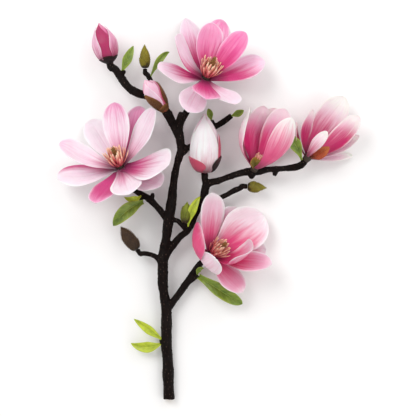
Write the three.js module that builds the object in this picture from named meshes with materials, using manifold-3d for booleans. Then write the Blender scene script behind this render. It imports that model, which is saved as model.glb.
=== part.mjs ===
// A cut branch of saucer magnolia (Magnolia x soulangeana) in flower, lying on a flat surface.
//
// Units are millimetres, +Z is up and +Y runs from the cut end towards the tip of the branch. The origin is
// at the middle of the branch's footprint, on the surface it lies on. The branch rests on the flattened
// underside of its stem near the cut end and on the backs of outer tepals of the open blooms.
//
// A bloom or bud grows on an axis of its own. Its tepals are thin curved blades that leave a small receptacle
// in two layers, so one formula shapes them all and every bloom is a short list of where its tepals end.
// Pieces that touch keep a small clearance: each one is cut back from the pieces made before it.

import * as THREE from "three";
import { mergeVertices } from "three/addons/utils/BufferGeometryUtils.js";
import Module from "manifold-3d";

const wasm = await Module();
wasm.setup();

// ---------------------------------------------------------------- driving sizes

const GAP = 0.3; // clearance between two pieces that touch
const TEPAL_BLADE = 1.0; // thickness of a tepal along its middle
const LEAF_BLADE = 0.9;
const RIM_SHARE = 0.75; // a blade's rim is this much of its middle thickness
const RECEPTACLE = 5.2; // radius of the stalk's end that carries the tepals
const ROOT_RADIUS = 4.1; // where a tepal's root stands off its bloom's axis
const OUTER_DROP = 1.5; // the outer layer of tepals grows this much lower
const STALK_END = 6.3; // the wood stops this far below the foot of a bloom
const TWIG_END = 0.35; // and this far below the foot of a bud
const TABLE = 0; // height of the surface the branch lies on

const BARK = { color: 0x2e1c17, roughness: 0.85, metalness: 0 };
const PALE_PINK = { color: 0xf0c9d8, roughness: 0.5, metalness: 0 };
const DEEP_PINK = { color: 0xe77fb0, roughness: 0.5, metalness: 0 };
const MAGENTA = { color: 0xc9447f, roughness: 0.5, metalness: 0 };
const STAMEN_PINK = { color: 0xd8788c, roughness: 0.6, metalness: 0 };
const PISTIL_OLIVE = { color: 0x7d6a2c, roughness: 0.6, metalness: 0 };
const SCALE_BROWN = { color: 0x6b4024, roughness: 0.8, metalness: 0 };
const BUD_OLIVE = { color: 0x8d8433, roughness: 0.75, metalness: 0 };
const LEAF_GREEN = { color: 0x5d8a2c, roughness: 0.5, metalness: 0 };
const YOUNG_GREEN = { color: 0xc2d32c, roughness: 0.5, metalness: 0 };

// ---------------------------------------------------------------- the blooms

// tip says where a tepal ends, from the foot of its bloom: right, up the branch and up from the surface.
// cup bends the blade inward over its length and flare throws its tip outward again, both in degrees.
const BLOOMS = {
  left_bloom: {
    base: [-104, 49.7, 25],
    heading: 108,
    tilt: 50,
    stamens: { count: 11, length: 18, spread: 46 },
    pistil: 33,
    finish: PALE_PINK,
    tepals: [
      { outer: true, tip: [-39, 58, -24.5], width: 36, cup: 8, flare: 8 },
      { outer: true, tip: [-75, -11, 2], width: 40, cup: 12, flare: 4 },
      { outer: true, tip: [-25, -42, 46], width: 34, cup: 12, flare: 8 },
      { outer: true, tip: [50, -22, 30], width: 38, cup: 12, flare: 8 },
      { outer: true, tip: [22, 75, -24.5], width: 36, cup: 8, flare: 6 },
      { tip: [-6, 76, 8], width: 36, cup: 12, flare: 4 },
      { tip: [-69, 27, 22], width: 40, cup: 14, flare: 4 },
      { tip: [15, -32, 62], width: 38, cup: 14, flare: 14 },
      { tip: [59, 2, 43], width: 56, cup: 12, flare: 8, broadest: 0.68 },
      { tip: [41, 69, 14], width: 36, cup: 10, flare: 4 },
    ],
  },
  top_bloom: {
    base: [-2, 155.5, 27],
    heading: 63.4,
    tilt: 48,
    stamens: { count: 11, length: 18, spread: 44 },
    pistil: 36,
    finish: DEEP_PINK,
    tepals: [
      { outer: true, tip: [-24, 76, -26.5], width: 34, cup: 8, flare: 8, taper: 1.9, blunt: 0.75 },
      { outer: true, tip: [20, 74, -26.5], width: 32, cup: 10, flare: 10 },
      { outer: true, tip: [70, 20, 2], width: 40, cup: 10, flare: 8 },
      { outer: true, tip: [34, -34, 44], width: 36, cup: 12, flare: 10 },
      { outer: true, tip: [-20, -43, 44], width: 34, cup: 12, flare: 10 },
      { outer: true, tip: [-55, 9, 32], width: 34, cup: 12, flare: 8 },
      { tip: [7, 63, 14], width: 38, cup: 14, flare: 2 },
      { tip: [47, 51, 18], width: 34, cup: 12, flare: 4 },
      { tip: [1, -30, 62], width: 36, cup: 14, flare: 12, taper: 1.8, blunt: 0.75 },
      { tip: [-34, 43, 38], width: 46, cup: 22, flare: -2 },
    ],
  },
  low_bloom: {
    base: [4.6, -54.3, 26],
    heading: 38,
    tilt: 52,
    stamens: { count: 10, length: 17, spread: 42 },
    pistil: 32,
    finish: DEEP_PINK,
    tepals: [
      { outer: true, tip: [5, 73, 6], width: 36, cup: 9, flare: 2 },
      { outer: true, tip: [33, 55, -21], width: 38, cup: 12, flare: 2 },
      { outer: true, tip: [66, 8, -25.5], width: 36, cup: 12, flare: 4 },
      { outer: true, tip: [37, -44, 8], width: 42, cup: 14, flare: 10 },
      { outer: true, tip: [-9, 27, 53], width: 48, cup: 42, flare: 0, broadest: 0.7 },
      { tip: [64, 46, -10], width: 58, cup: 16, flare: 0 },
      { tip: [71, -10, 14], width: 36, cup: 12, flare: 6 },
      { tip: [47, 8, 28], width: 50, cup: 34, flare: -4, broadest: 0.74, taper: 3.6 },
      { tip: [6, -2, 57], width: 36, cup: 42, flare: 0 },
    ],
  },
  cup_bloom: {
    base: [57, 50, 27],
    heading: 66,
    tilt: 72,
    stamens: { count: 5, length: 9.5, spread: 22 },
    pistil: 16,
    finish: DEEP_PINK,
    tepals: [
      { outer: true, tip: [-6, 68, 20], width: 42, cup: 36, flare: 4 },
      { outer: true, tip: [39, 55, 42], width: 35, cup: 32, flare: 8 },
      { outer: true, tip: [26, 70, -12], width: 42, cup: 36, flare: 4 },
      { tip: [11, 72, -2], width: 38, cup: 34, flare: 2 },
      { tip: [35, 68, 4], width: 38, cup: 32, flare: 4 },
    ],
  },
  tip_bloom: {
    base: [120, 62, 27],
    heading: 50,
    tilt: 66,
    stamens: { count: 5, length: 13, spread: 26 },
    pistil: 22,
    finish: DEEP_PINK,
    tepals: [
      { outer: true, tip: [44, 71, -6], width: 41, cup: 28, flare: 4 },
      { outer: true, tip: [56, 4, -26.5], width: 17, cup: 14, flare: 16 },
      { outer: true, tip: [-14, 40, 12], width: 18, cup: 26, flare: 12 },
      { outer: true, tip: [61, 26, -8], width: 20, cup: 22, flare: 8 },
      { tip: [59, 47, 8], width: 30, cup: 26, flare: 6 },
      { tip: [5, 55, 5], width: 28, cup: 26, flare: 4 },
      { tip: [20, 28, 25], width: 15, cup: 24, flare: 4 },
    ],
  },
};

// Closed buds: packed tepals, or the scales of a leaf bud, with the outer ones wrapped round them.
const BUDS = {
  egg_bud: {
    base: [-3, 43, 25], heading: 90, tilt: 80, length: 70, width: 34,
    plump: 0.32, foot: 0.24, taper: 2.5, tipWidth: 0.12,
    sides: 10, wraps: [[200, 76, 1]], finish: PALE_PINK,
  },
  left_bud: {
    base: [-116.3, 174.8, 28], heading: 105, tilt: 84, length: 47, width: 28,
    plump: 0.46, foot: 0.26, taper: 1.5, tipWidth: 0.05,
    sides: 8, wraps: [[160, 72, 0.98]], finish: MAGENTA,
  },
  small_bud: {
    base: [-50, 117, 35], heading: 125, tilt: 66, length: 44, width: 20,
    plump: 0.66, foot: 0.2, taper: 1.9, tipWidth: 0.08,
    sides: 8, wraps: [[200, 66, 0.98]], finish: DEEP_PINK,
  },
  upper_leaf_bud: {
    base: [-73.9, 167.1, 27], heading: 91, tilt: 84, length: 28, width: 11,
    plump: 0.4, foot: 0.3, taper: 1.7, tipWidth: 0.05,
    sides: 7, wraps: [], finish: BUD_OLIVE,
  },
  brown_leaf_bud: {
    base: [-84, -48.5, 17], heading: 125.5, tilt: 86, length: 33, width: 14,
    plump: 0.45, foot: 0.3, taper: 2.2, tipWidth: 0.1,
    sides: 7, wraps: [], finish: SCALE_BROWN,
  },
  right_leaf_bud: {
    base: [48.1, 26.6, 19], heading: -4, tilt: 86, length: 23, width: 11.5,
    plump: 0.38, foot: 0.3, taper: 1.6, tipWidth: 0.05,
    sides: 7, wraps: [], finish: BUD_OLIVE,
  },
  middle_leaf_bud: {
    base: [-26.5, -17, 27], heading: 84, tilt: 80, length: 26, width: 11,
    plump: 0.45, foot: 0.3, taper: 1.9, tipWidth: 0.08,
    sides: 7, wraps: [], finish: BUD_OLIVE,
  },
};

// Scales that still wrap the foot of a flower bud: [azimuth, half angle, share of the bud's length].
const SCALES = {
  left_bud_scales: { bud: "left_bud", wraps: [[170, 80, 0.13], [-20, 75, 0.11]], finish: SCALE_BROWN },
  small_bud_scales: { bud: "small_bud", wraps: [[130, 75, 0.74], [-60, 80, 0.6]], finish: SCALE_BROWN },
};

// ---------------------------------------------------------------- the leaves

// A leaf runs from its root over a middle point to its tip; ruffle is how far its rim waves up and down.
const LEAVES = {
  bud_twig_leaf: { path: [[-68, 156, 26], [-55.8, 176.5, 33], [-45, 186, 29]], width: 9 },
  upper_leaf: { path: [[-102, 161, 28], [-94, 178, 33], [-87.6, 193, 31]], width: 12 },
  tip_leaf: { path: [[112, 58, 27], [103, 77, 36], [91, 88, 33]], width: 15 },
  bloom_leaf: {
    path: [[-77, 8, 18], [-95, -2, 29], [-112, -20, 25]], width: 18, ruffle: 1.2,
    claw: 0.3, taper: 2.2, blunt: 0.7,
  },
  small_bloom_leaf: { path: [[-79, 16, 16], [-88, 11, 24], [-99, 14, 24]], width: 9, young: true },
  low_leaf: {
    path: [[-10, -81, 14], [16, -98, 21], [41.5, -114.5, 13]], width: 17, ruffle: 1.4,
    claw: 0.4, taper: 2.8, blunt: 0.6,
  },
  low_leaflet: { path: [[-12, -80, 14], [-10, -73, 18], [-4, -71, 18]], width: 6 },
  young_leaf_upper: { path: [[-52, -159, 9], [-71, -144, 17], [-88, -132, 15]], width: 11, young: true },
  young_leaf_lower: { path: [[-53, -161, 8], [-73, -166, 13], [-92, -162, 8]], width: 14, young: true },
  middle_leaf: { path: [[-23, -21, 27], [-17, 0, 34], [-8.5, 14.5, 33]], width: 11, young: true },
  side_leaf: { path: [[5, 105, 12], [3, 114, 17], [1, 120, 16]], width: 8 },
  side_leaf_right: { path: [[28, 111, 17], [37, 114, 20], [43.5, 118, 18]], width: 9 },
};

// ---------------------------------------------------------------- the wood

// Every limb is a line of points, each with the radius of the wood there. A limb that carries a bloom or a
// bud ends below it.
const LIMBS = {
  main_stem: {
    points: [
      [-46.2, -229.5, 6, 6.7], [-46.6, -214, 6, 6.5], [-47, -199, 6.4, 6.9], [-48.5, -175, 7.5, 6.2],
      [-49.5, -158, 8.5, 6.6], [-49.3, -122, 11.5, 6.2], [-52.5, -98, 14, 5.8], [-53.5, -75.5, 17, 6.3],
      [-52.4, -52.4, 19, 6.2], [-49, -36, 20.5, 5.6], [-47.4, -21.6, 22, 6.3], [-42.7, 5.4, 24, 6.0],
      [-40, 32.3, 25, 4.6], [-35.4, 55.4, 26, 4.2], [-31.5, 70, 26.5, 4.9], [-32.7, 84, 27, 5.2],
      [-33.5, 97, 26.5, 5.0], [-27, 112, 24.5, 4.0], [-16, 129, 19, 3.8], [-9, 141, 16, 3.7],
    ],
    carries: "top_bloom",
    sides: 8,
    step: 14,
  },
  top_stub: { points: [[-33.5, 97, 27, 5.0], [-31.5, 108, 30, 4.8], [-29.5, 114, 31.5, 4.3]] },
  upper_left: {
    points: [
      [-33.5, 86, 27, 4.8], [-44.3, 107, 26, 4.6], [-57, 129, 24.5, 4.7], [-68, 134, 24.5, 4.6],
      [-81, 137, 25.5, 4.9], [-94.3, 145, 27, 4.7], [-103.5, 157.5, 27.5, 4.6], [-111, 167, 28, 4.5],
    ],
    carries: "left_bud",
    sides: 7,
  },
  upper_knob: { points: [[-104, 157, 27, 3.2], [-99.5, 162.5, 28, 3.0], [-98, 164.5, 28.5, 2.2]] },
  small_bud_twig: {
    points: [[-41, 100, 27, 4.8], [-44, 108, 29, 5.1], [-46.5, 112.5, 31, 5.2]],
    carries: "small_bud",
  },
  bud_twig: {
    points: [[-66, 133, 24, 3.2], [-65.5, 146, 24, 2.9], [-69.3, 156.5, 25.5, 3.1], [-72, 161, 26, 2.7]],
    carries: "upper_leaf_bud",
  },
  left_bloom_twig: {
    points: [
      [-47, -14, 22, 4.2], [-58, 0, 19.5, 3.9], [-69.3, 11.5, 16.5, 4.2], [-82, 19, 11.5, 3.8],
      [-94, 28, 9, 3.7],
    ],
    carries: "left_bloom",
  },
  left_spur: { points: [[-68, 9, 17, 3.2], [-65.5, 15.5, 18.5, 2.8], [-65.5, 19, 19, 2.0]] },
  left_leaf_spur: { points: [[-78, 17, 13, 2.6], [-79.5, 10, 16, 2.4], [-78, 7, 17.5, 1.9]] },
  brown_bud_twig: {
    points: [[-54, -69, 18, 3.6], [-61, -58, 17, 3.0], [-69.3, -54.3, 16.5, 2.9], [-78, -53.5, 16.5, 2.8]],
    carries: "brown_leaf_bud",
  },
  right_branch: {
    points: [
      [-51.5, -60, 19, 4.6], [-42, -44.5, 20, 4.4], [-33, -34, 21.5, 4.2], [-23.5, -25.4, 22.5, 4.2],
      [-13, -5, 22.5, 3.8], [-4.5, 13, 22, 4.6], [-0.5, 29, 22.5, 4.8], [14, 34, 23, 3.9], [29, 39, 22.5, 3.6],
      [43, 43.5, 22.5, 4.3], [58, 44.5, 22.5, 4.5], [73, 47, 22.5, 3.8], [90, 48, 23, 3.4],
      [106, 49.7, 22.5, 4.2],
    ],
    carries: "tip_bloom",
    sides: 7,
  },
  egg_bud_twig: { points: [[-1.5, 24, 22.5, 4.0], [-2.6, 33, 23, 3.9]], carries: "egg_bud" },
  cup_bloom_twig: { points: [[52.3, 40.4, 22.5, 3.5], [54, 42, 23, 4.0]], carries: "cup_bloom" },
  lower_spur: { points: [[83, 48, 22.5, 3.2], [80.5, 42.5, 22, 2.9], [79.5, 39.5, 21.5, 2.2]] },
  middle_bud_twig: {
    points: [[-46, -14, 22.5, 3.2], [-36, -14, 23.5, 2.8], [-30, -19.5, 25, 2.8], [-27.5, -23, 26, 2.7]],
    carries: "middle_leaf_bud",
  },
  right_bud_twig: {
    points: [
      [-6, 11, 21, 3.2], [8, 11, 17, 3.0], [21, 15.5, 16, 3.1], [32, 22, 17, 3.4], [40, 25.5, 18, 3.1],
    ],
    carries: "right_leaf_bud",
  },
  stem_spur: { points: [[-32, 66, 26.5, 4.2], [-27, 69.5, 25.5, 4.5], [-23.5, 74.5, 23.5, 3.4]] },
  side_twig: {
    points: [
      [-24, 72, 24, 3.6], [-14, 78, 13, 3.9], [-3, 87, 9.5, 4.0], [6, 98, 10.5, 4.3], [4.5, 107, 12, 3.2],
    ],
  },
  side_twig_right: { points: [[5, 96, 10.5, 3.5], [17, 103, 12.5, 3.6], [29, 111.5, 16.5, 3.0]] },
  low_bloom_twig: {
    points: [
      [-48, -121, 12, 4.4], [-36, -105, 11, 4.2], [-24, -88, 10, 4.3], [-15, -74, 10, 4.0],
      [-9, -67, 12, 3.8],
    ],
    carries: "low_bloom",
  },
  low_leaf_twig: { points: [[-29, -94, 10.5, 3.4], [-19, -85.5, 12, 3.2], [-11, -80, 14, 2.4]] },
  young_leaf_spur: { points: [[-46, -157, 8.5, 4.2], [-52.5, -159, 9, 3.9], [-57.5, -160, 9.5, 2.6]] },
};

// ---------------------------------------------------------------- small helpers

const radians = (degrees) => (degrees * Math.PI) / 180;
const vec = (p) => new THREE.Vector3(p[0], p[1], p[2]);
const clamp = (x, low, high) => Math.min(high, Math.max(low, x));
const smooth = (x) => x * x * (3 - 2 * x);
const joined = (solids) => solids.reduce((all, one) => all.add(one));
const largest = (solid) => solid.decompose().sort((a, b) => b.volume() - a.volume())[0];

// A direction given by its heading in the XY plane, from +X towards +Y, and its tilt away from +Z.
function direction(heading, tilt) {
  const flat = Math.sin(radians(tilt));
  const turn = radians(heading);
  return new THREE.Vector3(flat * Math.cos(turn), flat * Math.sin(turn), Math.cos(radians(tilt)));
}

// The axes of a bloom: w along it, and round it azimuth 0 on the side that leans down towards the table.
function axesOf({ base, heading, tilt }) {
  const w = direction(heading, tilt);
  const e1 = direction(heading, tilt + 90);
  return { o: vec(base), w, e1, e2: new THREE.Vector3().crossVectors(w, e1) };
}

// The direction that stands out from a bloom's axis at a turn round it.
function radialOf({ e1, e2 }, turn) {
  return e1.clone().multiplyScalar(Math.cos(turn)).addScaledVector(e2, Math.sin(turn));
}

function solidOf(geometry) {
  const bare = geometry.index ? geometry.toNonIndexed() : geometry.clone();
  bare.deleteAttribute("normal");
  bare.deleteAttribute("uv");
  const merged = mergeVertices(bare, 1e-4);
  return new wasm.Manifold(
    new wasm.Mesh({
      numProp: 3,
      vertProperties: new Float32Array(merged.attributes.position.array),
      triVerts: new Uint32Array(merged.index.array),
    }),
  );
}

// Collects triangles, corner by corner, and closes them into a solid.
function shell() {
  const corners = [];
  return {
    triangle: (a, b, c) => [a, b, c].forEach((p) => corners.push(p.x, p.y, p.z)),
    solid: () => {
      const positions = new THREE.Float32BufferAttribute(corners, 3);
      return solidOf(new THREE.BufferGeometry().setAttribute("position", positions));
    },
  };
}

// ---------------------------------------------------------------- blades: tepals, scales and leaves

// The outlines of blades. A tepal or leaf whose own list gives one of these values has that value instead.
const TEPAL_SHAPE = { claw: 0.26, broadest: 0.62, taper: 2.6, blunt: 0.58 };
const LEAF_SHAPE = { claw: 0.16, broadest: 0.48, taper: 1.5, blunt: 0.85 };
const WRAP_SHAPE = { claw: 0.75, broadest: 0.35, taper: 1.8, blunt: 0.8 };

// Half a blade's width at s along it, as a share of half its full width.
function outline(s, { claw, broadest, taper, blunt }) {
  const rise = claw + (1 - claw) * smooth(Math.min(s / broadest, 1));
  const past = clamp((s - broadest) / (1 - broadest), 0, 1);
  return Math.max(rise * (1 - past ** taper) ** blunt, 0.07);
}

const MIDRIB_STEPS = 20;

// The midrib of a tepal in the plane of its bloom's axis: height along the axis, distance from it, and slope.
function midribOf({ cup, flare }, reach, rise) {
  const bend = (s) => radians(cup * Math.cos(Math.PI * s) + flare * s ** 3);
  const line = [{ h: 0, r: 0 }];
  for (let i = 0; i < MIDRIB_STEPS; i++) {
    const a = bend((i + 0.5) / MIDRIB_STEPS);
    line.push({ h: line[i].h + Math.cos(a) / MIDRIB_STEPS, r: line[i].r + Math.sin(a) / MIDRIB_STEPS });
  }
  // The whole line is turned and stretched so that it ends at the tip.
  const end = line[MIDRIB_STEPS];
  const span = Math.hypot(reach.h - rise, reach.r - ROOT_RADIUS) / Math.hypot(end.h, end.r);
  const open = Math.atan2(reach.r - ROOT_RADIUS, reach.h - rise) - Math.atan2(end.r, end.h);
  return (s) => {
    const at = clamp(s, 0, 1) * MIDRIB_STEPS;
    const i = Math.min(Math.floor(at), MIDRIB_STEPS - 1);
    const h = THREE.MathUtils.lerp(line[i].h, line[i + 1].h, at - i) * span;
    const r = THREE.MathUtils.lerp(line[i].r, line[i + 1].r, at - i) * span;
    return {
      h: rise + h * Math.cos(open) - r * Math.sin(open),
      r: ROOT_RADIUS + h * Math.sin(open) + r * Math.cos(open),
      slope: open + bend(s),
    };
  };
}

// The middle surface of a tepal, at s from root to tip and t from one edge (-1) to the other (1).
// It bends round the bloom's axis, most of all near its root, and keeps a shallow channel of its own.
function tepalSurface(axes, tepal) {
  const tip = vec(tepal.tip);
  const height = tip.dot(axes.w);
  const turn = Math.atan2(tip.dot(axes.e2), tip.dot(axes.e1));
  const reach = { h: height, r: Math.sqrt(Math.max(tip.lengthSq() - height * height, 0)) };
  const midrib = midribOf(tepal, reach, tepal.outer ? -OUTER_DROP : 0);
  const shape = { ...TEPAL_SHAPE, ...tepal };
  const radial = radialOf(axes, turn);
  const side = radialOf(axes, turn + Math.PI / 2);
  return (s, t) => {
    const { h, r, slope } = midrib(s);
    const half = (tepal.width / 2) * outline(s, shape);
    const bend = clamp((0.85 * half * Math.max(Math.cos(slope), 0)) / Math.max(r, 2) + 0.18, 0.05, 1.4);
    const inward = axes.w.clone().multiplyScalar(Math.sin(slope)).addScaledVector(radial, -Math.cos(slope));
    const point = axes.o.clone().addScaledVector(axes.w, h).addScaledVector(radial, r);
    point.addScaledVector(side, (half * Math.sin(bend * t)) / bend);
    return point.addScaledVector(inward, (half * (1 - Math.cos(bend * t))) / bend);
  };
}

// The middle surface of a leaf along its path, folded up a little on both sides of its midrib.
function leafSurface(leaf) {
  const { path, width, ruffle, ...shape } = { ruffle: 0, ...LEAF_SHAPE, ...leaf };
  const [root, middle, tip] = path.map(vec);
  const control = middle.clone().multiplyScalar(2).addScaledVector(root, -0.5).addScaledVector(tip, -0.5);
  const curve = new THREE.QuadraticBezierCurve3(root, control, tip);
  return (s, t) => {
    const along = curve.getTangent(s);
    const side = new THREE.Vector3(0, 0, 1).cross(along).normalize();
    const up = new THREE.Vector3().crossVectors(along, side);
    const half = (width / 2) * outline(s, shape);
    const wave = ruffle * Math.abs(t) ** 3 * Math.sin(9 * s + (t > 0 ? 0 : 2));
    const point = curve.getPoint(s).addScaledVector(side, half * t * 0.94);
    return point.addScaledVector(up, half * Math.abs(t) * 0.34 + wave);
  };
}

// Half the width of a closed bud at s of its length.
function budRadius({ width, plump, foot, taper, tipWidth }, s) {
  const low = Math.sqrt(1 - clamp(1 - s / plump, 0, 1) ** 2);
  const high = 1 - clamp((s - plump) / (1 - plump), 0, 1) ** taper;
  return (width / 2) * Math.max((foot + (1 - foot) * low) * high, tipWidth);
}

// The middle surface of a tepal or scale wrapped round a closed bud, lift outside the bud's own surface.
function wrapSurface(axes, bud, [azimuth, halfAngle, reach], lift) {
  return (s, t) => {
    const turn = radians(azimuth + t * halfAngle * outline(s, WRAP_SHAPE));
    const at = 0.02 + s * (reach - 0.02);
    const point = axes.o.clone().addScaledVector(axes.w, at * bud.length);
    return point.addScaledVector(radialOf(axes, turn), budRadius(bud, at) + lift);
  };
}

// Gives a middle surface its thickness. A blade that would dip under the table lies flat on it instead.
// grow thickens the blade and widens its rim, to clear a space round it.
function blade(surface, thickness, grow, rows = 5, columns = 4) {
  const lowest = TABLE + thickness / 2;
  const at = (s, t) => {
    const point = surface(s, t);
    point.z = Math.max(point.z, lowest);
    return point;
  };
  const front = [];
  const back = [];
  for (let i = 0; i <= rows; i++) {
    const s = Math.sin((Math.PI / 2) * (i / rows));
    for (let j = 0; j <= columns; j++) {
      const t = -1 + (2 * j) / columns;
      const alongS = at(Math.min(s + 0.01, 1), t).sub(at(Math.max(s - 0.01, 0), t));
      const alongT = at(s, Math.min(t + 0.01, 1)).sub(at(s, Math.max(t - 0.01, -1)));
      const normal = alongS.clone().cross(alongT).normalize();
      const half = (thickness / 2) * (1 - (1 - RIM_SHARE) * t * t) + grow;
      const middle = at(s, t).addScaledVector(alongT.normalize(), t * grow);
      if (i === 0 || i === rows) middle.addScaledVector(alongS.normalize(), i ? grow : -grow);
      front.push(middle.clone().addScaledVector(normal, half));
      back.push(middle.clone().addScaledVector(normal, -half));
    }
  }
  const { triangle, solid } = shell();
  const index = (i, j) => i * (columns + 1) + j;
  const rim = [];
  for (let i = 0; i < rows; i++) {
    for (let j = 0; j < columns; j++) {
      const [a, b, c, d] = [index(i, j), index(i + 1, j), index(i + 1, j + 1), index(i, j + 1)];
      triangle(front[a], front[b], front[c]);
      triangle(front[a], front[c], front[d]);
      triangle(back[a], back[c], back[b]);
      triangle(back[a], back[d], back[c]);
    }
  }
  for (let j = 0; j < columns; j++) rim.push(index(0, j));
  for (let i = 0; i < rows; i++) rim.push(index(i, columns));
  for (let j = columns; j > 0; j--) rim.push(index(rows, j));
  for (let i = rows; i > 0; i--) rim.push(index(i, 0));
  rim.forEach((a, k) => {
    const b = rim[(k + 1) % rim.length];
    triangle(front[a], front[b], back[b]);
    triangle(front[a], back[b], back[a]);
  });
  return solid();
}

// ---------------------------------------------------------------- round forms: limbs, buds and centres

// A tapered limb through points [x, y, z, radius].
function limb(points, sides, step, grow) {
  const curve = new THREE.CatmullRomCurve3(points.map(vec), false, "centripetal");
  const count = Math.max(2, Math.round(curve.getLength() / step));
  const frames = curve.computeFrenetFrames(count, false);
  const rings = [];
  for (let i = 0; i <= count; i++) {
    const at = curve.getUtoTmapping(i / count) * (points.length - 1);
    const k = Math.min(Math.floor(at), points.length - 2);
    const radius = THREE.MathUtils.lerp(points[k][3], points[k + 1][3], at - k) + grow;
    const centre = curve.getPointAt(i / count);
    if (i === count) centre.addScaledVector(frames.tangents[i], grow);
    const ring = [];
    for (let j = 0; j < sides; j++) {
      const turn = (2 * Math.PI * (j + 0.5)) / sides;
      const point = centre.clone().addScaledVector(frames.normals[i], radius * Math.cos(turn));
      ring.push(point.addScaledVector(frames.binormals[i], radius * Math.sin(turn)));
    }
    rings.push(ring);
  }
  const { triangle, solid } = shell();
  for (let i = 0; i < count; i++) {
    for (let j = 0; j < sides; j++) {
      const next = (j + 1) % sides;
      triangle(rings[i][j], rings[i][next], rings[i + 1][next]);
      triangle(rings[i][j], rings[i + 1][next], rings[i + 1][j]);
    }
  }
  for (let j = 1; j < sides - 1; j++) {
    triangle(rings[0][0], rings[0][j + 1], rings[0][j]);
    triangle(rings[count][0], rings[count][j], rings[count][j + 1]);
  }
  return solid();
}

// A turned form on a bloom's axis, from a profile of [distance from the axis, height along it].
function turned(axes, profile, sides) {
  const lathe = new THREE.LatheGeometry(profile.map(([r, h]) => new THREE.Vector2(r, h)), sides);
  const upright = new THREE.Matrix4().makeBasis(axes.e1, axes.w, axes.e2.clone().negate());
  return solidOf(lathe.applyMatrix4(upright.setPosition(axes.o)));
}

// ---------------------------------------------------------------- the pieces

function woodSolid(grow) {
  const made = Object.values(LIMBS).map(({ points, carries, sides = 5, step = 12 }) => {
    if (!carries) return limb(points, sides, step, grow);
    const axes = axesOf(BLOOMS[carries] ?? BUDS[carries]);
    const foot = BLOOMS[carries] ? STALK_END : TWIG_END;
    const last = points.at(-1)[3];
    const lead = [foot + 7, foot].map((d) => [...axes.o.clone().addScaledVector(axes.w, -d).toArray(), last]);
    return limb([...points, ...lead], sides, step, grow);
  });
  return joined(made);
}

function tepalsSolid(bloom, grow) {
  const axes = axesOf(bloom);
  const end = turned(
    axes,
    [
      [0, -6 - grow],
      [RECEPTACLE * 0.8 + grow, -6 - grow],
      [RECEPTACLE + grow, -1],
      [RECEPTACLE * 0.95 + grow, 2.2],
      [RECEPTACLE * 0.6 + grow, 4 + grow],
      [0, 4 + grow],
    ],
    8,
  );
  return joined([end, ...bloom.tepals.map((t) => blade(tepalSurface(axes, t), TEPAL_BLADE, grow))]);
}

function pistilSolid({ base, heading, tilt, pistil }, grow) {
  const axes = axesOf({ base, heading, tilt });
  const cone = turned(
    axes,
    [
      [0, 4.3 - grow],
      [2.7 + grow, 4.3 - grow],
      [3.0 + grow, pistil * 0.35],
      [2.2 + grow, pistil * 0.72],
      [0.8 + grow, pistil + grow],
      [0, pistil + grow],
    ],
    6,
  );
  const styles = Array.from({ length: 5 }, (_, k) => {
    const radial = radialOf(axes, 2.4 * k);
    const at = (h, r) => axes.o.clone().addScaledVector(axes.w, h).addScaledVector(radial, r).toArray();
    const low = pistil * (0.42 + 0.06 * k);
    const line = [[...at(low, 1.2), 0.95], [...at(low + 2, 4), 0.9], [...at(low + 1.8, 5.4), 0.6]];
    return limb(line, 3, 3, grow);
  });
  return joined([cone, ...styles]);
}

function stamensSolid({ base, heading, tilt, stamens }, grow) {
  const axes = axesOf({ base, heading, tilt });
  const collar = turned(
    axes,
    [
      [3.3 - grow, 4.3 - grow],
      [5.4 + grow, 4.3 - grow],
      [4.8 + grow, 7.6 + grow],
      [3.3 - grow, 7.6 + grow],
      [3.3 - grow, 4.3 - grow],
    ],
    7,
  );
  const filaments = Array.from({ length: stamens.count }, (_, k) => {
    const turn = (2 * Math.PI * k) / stamens.count;
    const lean = radians(stamens.spread * (k % 2 ? 1 : 0.68));
    const length = stamens.length * (k % 3 ? 1 : 0.86);
    const radial = radialOf(axes, turn);
    const at = (h, r) => axes.o.clone().addScaledVector(axes.w, h).addScaledVector(radial, r).toArray();
    const [h, r] = [length * Math.cos(lean), length * Math.sin(lean)];
    const line = [
      [...at(5, 4.2), 1],
      [...at(5 + h * 0.5, 4.4 + r * 0.58), 1.2],
      [...at(5 + h, 4.4 + r * 0.82), 0.8],
    ];
    return limb(line, 3, 9, grow);
  });
  return joined([collar, ...filaments]);
}

function budSolid(bud, grow) {
  const axes = axesOf(bud);
  const rings = [0, 0.07, 0.24, 0.48, 0.7, 0.87, 1];
  const profile = rings.map((s) => [budRadius(bud, s) + grow, s * bud.length + (s === 1 ? grow : 0)]);
  profile[0][1] = -grow;
  const heart = turned(axes, [[0, -grow], ...profile, [0, profile.at(-1)[1]]], bud.sides);
  const wraps = bud.wraps.map((wrap) => blade(wrapSurface(axes, bud, wrap, 0.45), 1.5, grow, 4, 4));
  return joined([heart, ...wraps]);
}

// The scales stand on a collar that widens from the twig to where they leave it.
function scalesSolid({ bud: name, wraps }, grow) {
  const bud = BUDS[name];
  const axes = axesOf(bud);
  const rim = { s: 0.045, lift: 1.9 };
  const reach = budRadius(bud, rim.s) + rim.lift + grow;
  const top = rim.s * bud.length + grow;
  const collar = turned(axes, [[0, -2.6 - grow], [4.3 + grow, -2.6 - grow], [reach, top], [0, top]], 8);
  return joined([collar, ...wraps.map((wrap) => blade(wrapSurface(axes, bud, wrap, 1.5), 1.6, grow, 3, 4))]);
}

// A round scale at the foot of the cup bloom, and a long one beside the bloom at the branch's tip.
const SIDE_SCALES = {
  cup_bloom_scale: { path: [[56, 46, 29], [57, 54, 35], [59.5, 60.5, 34]], width: 13, taper: 2.6 },
  tip_bloom_scale: { path: [[121, 61, 30], [132, 65, 37], [144, 73, 36]], width: 14, taper: 2.4 },
};

// ---------------------------------------------------------------- the order the pieces are cut in

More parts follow.
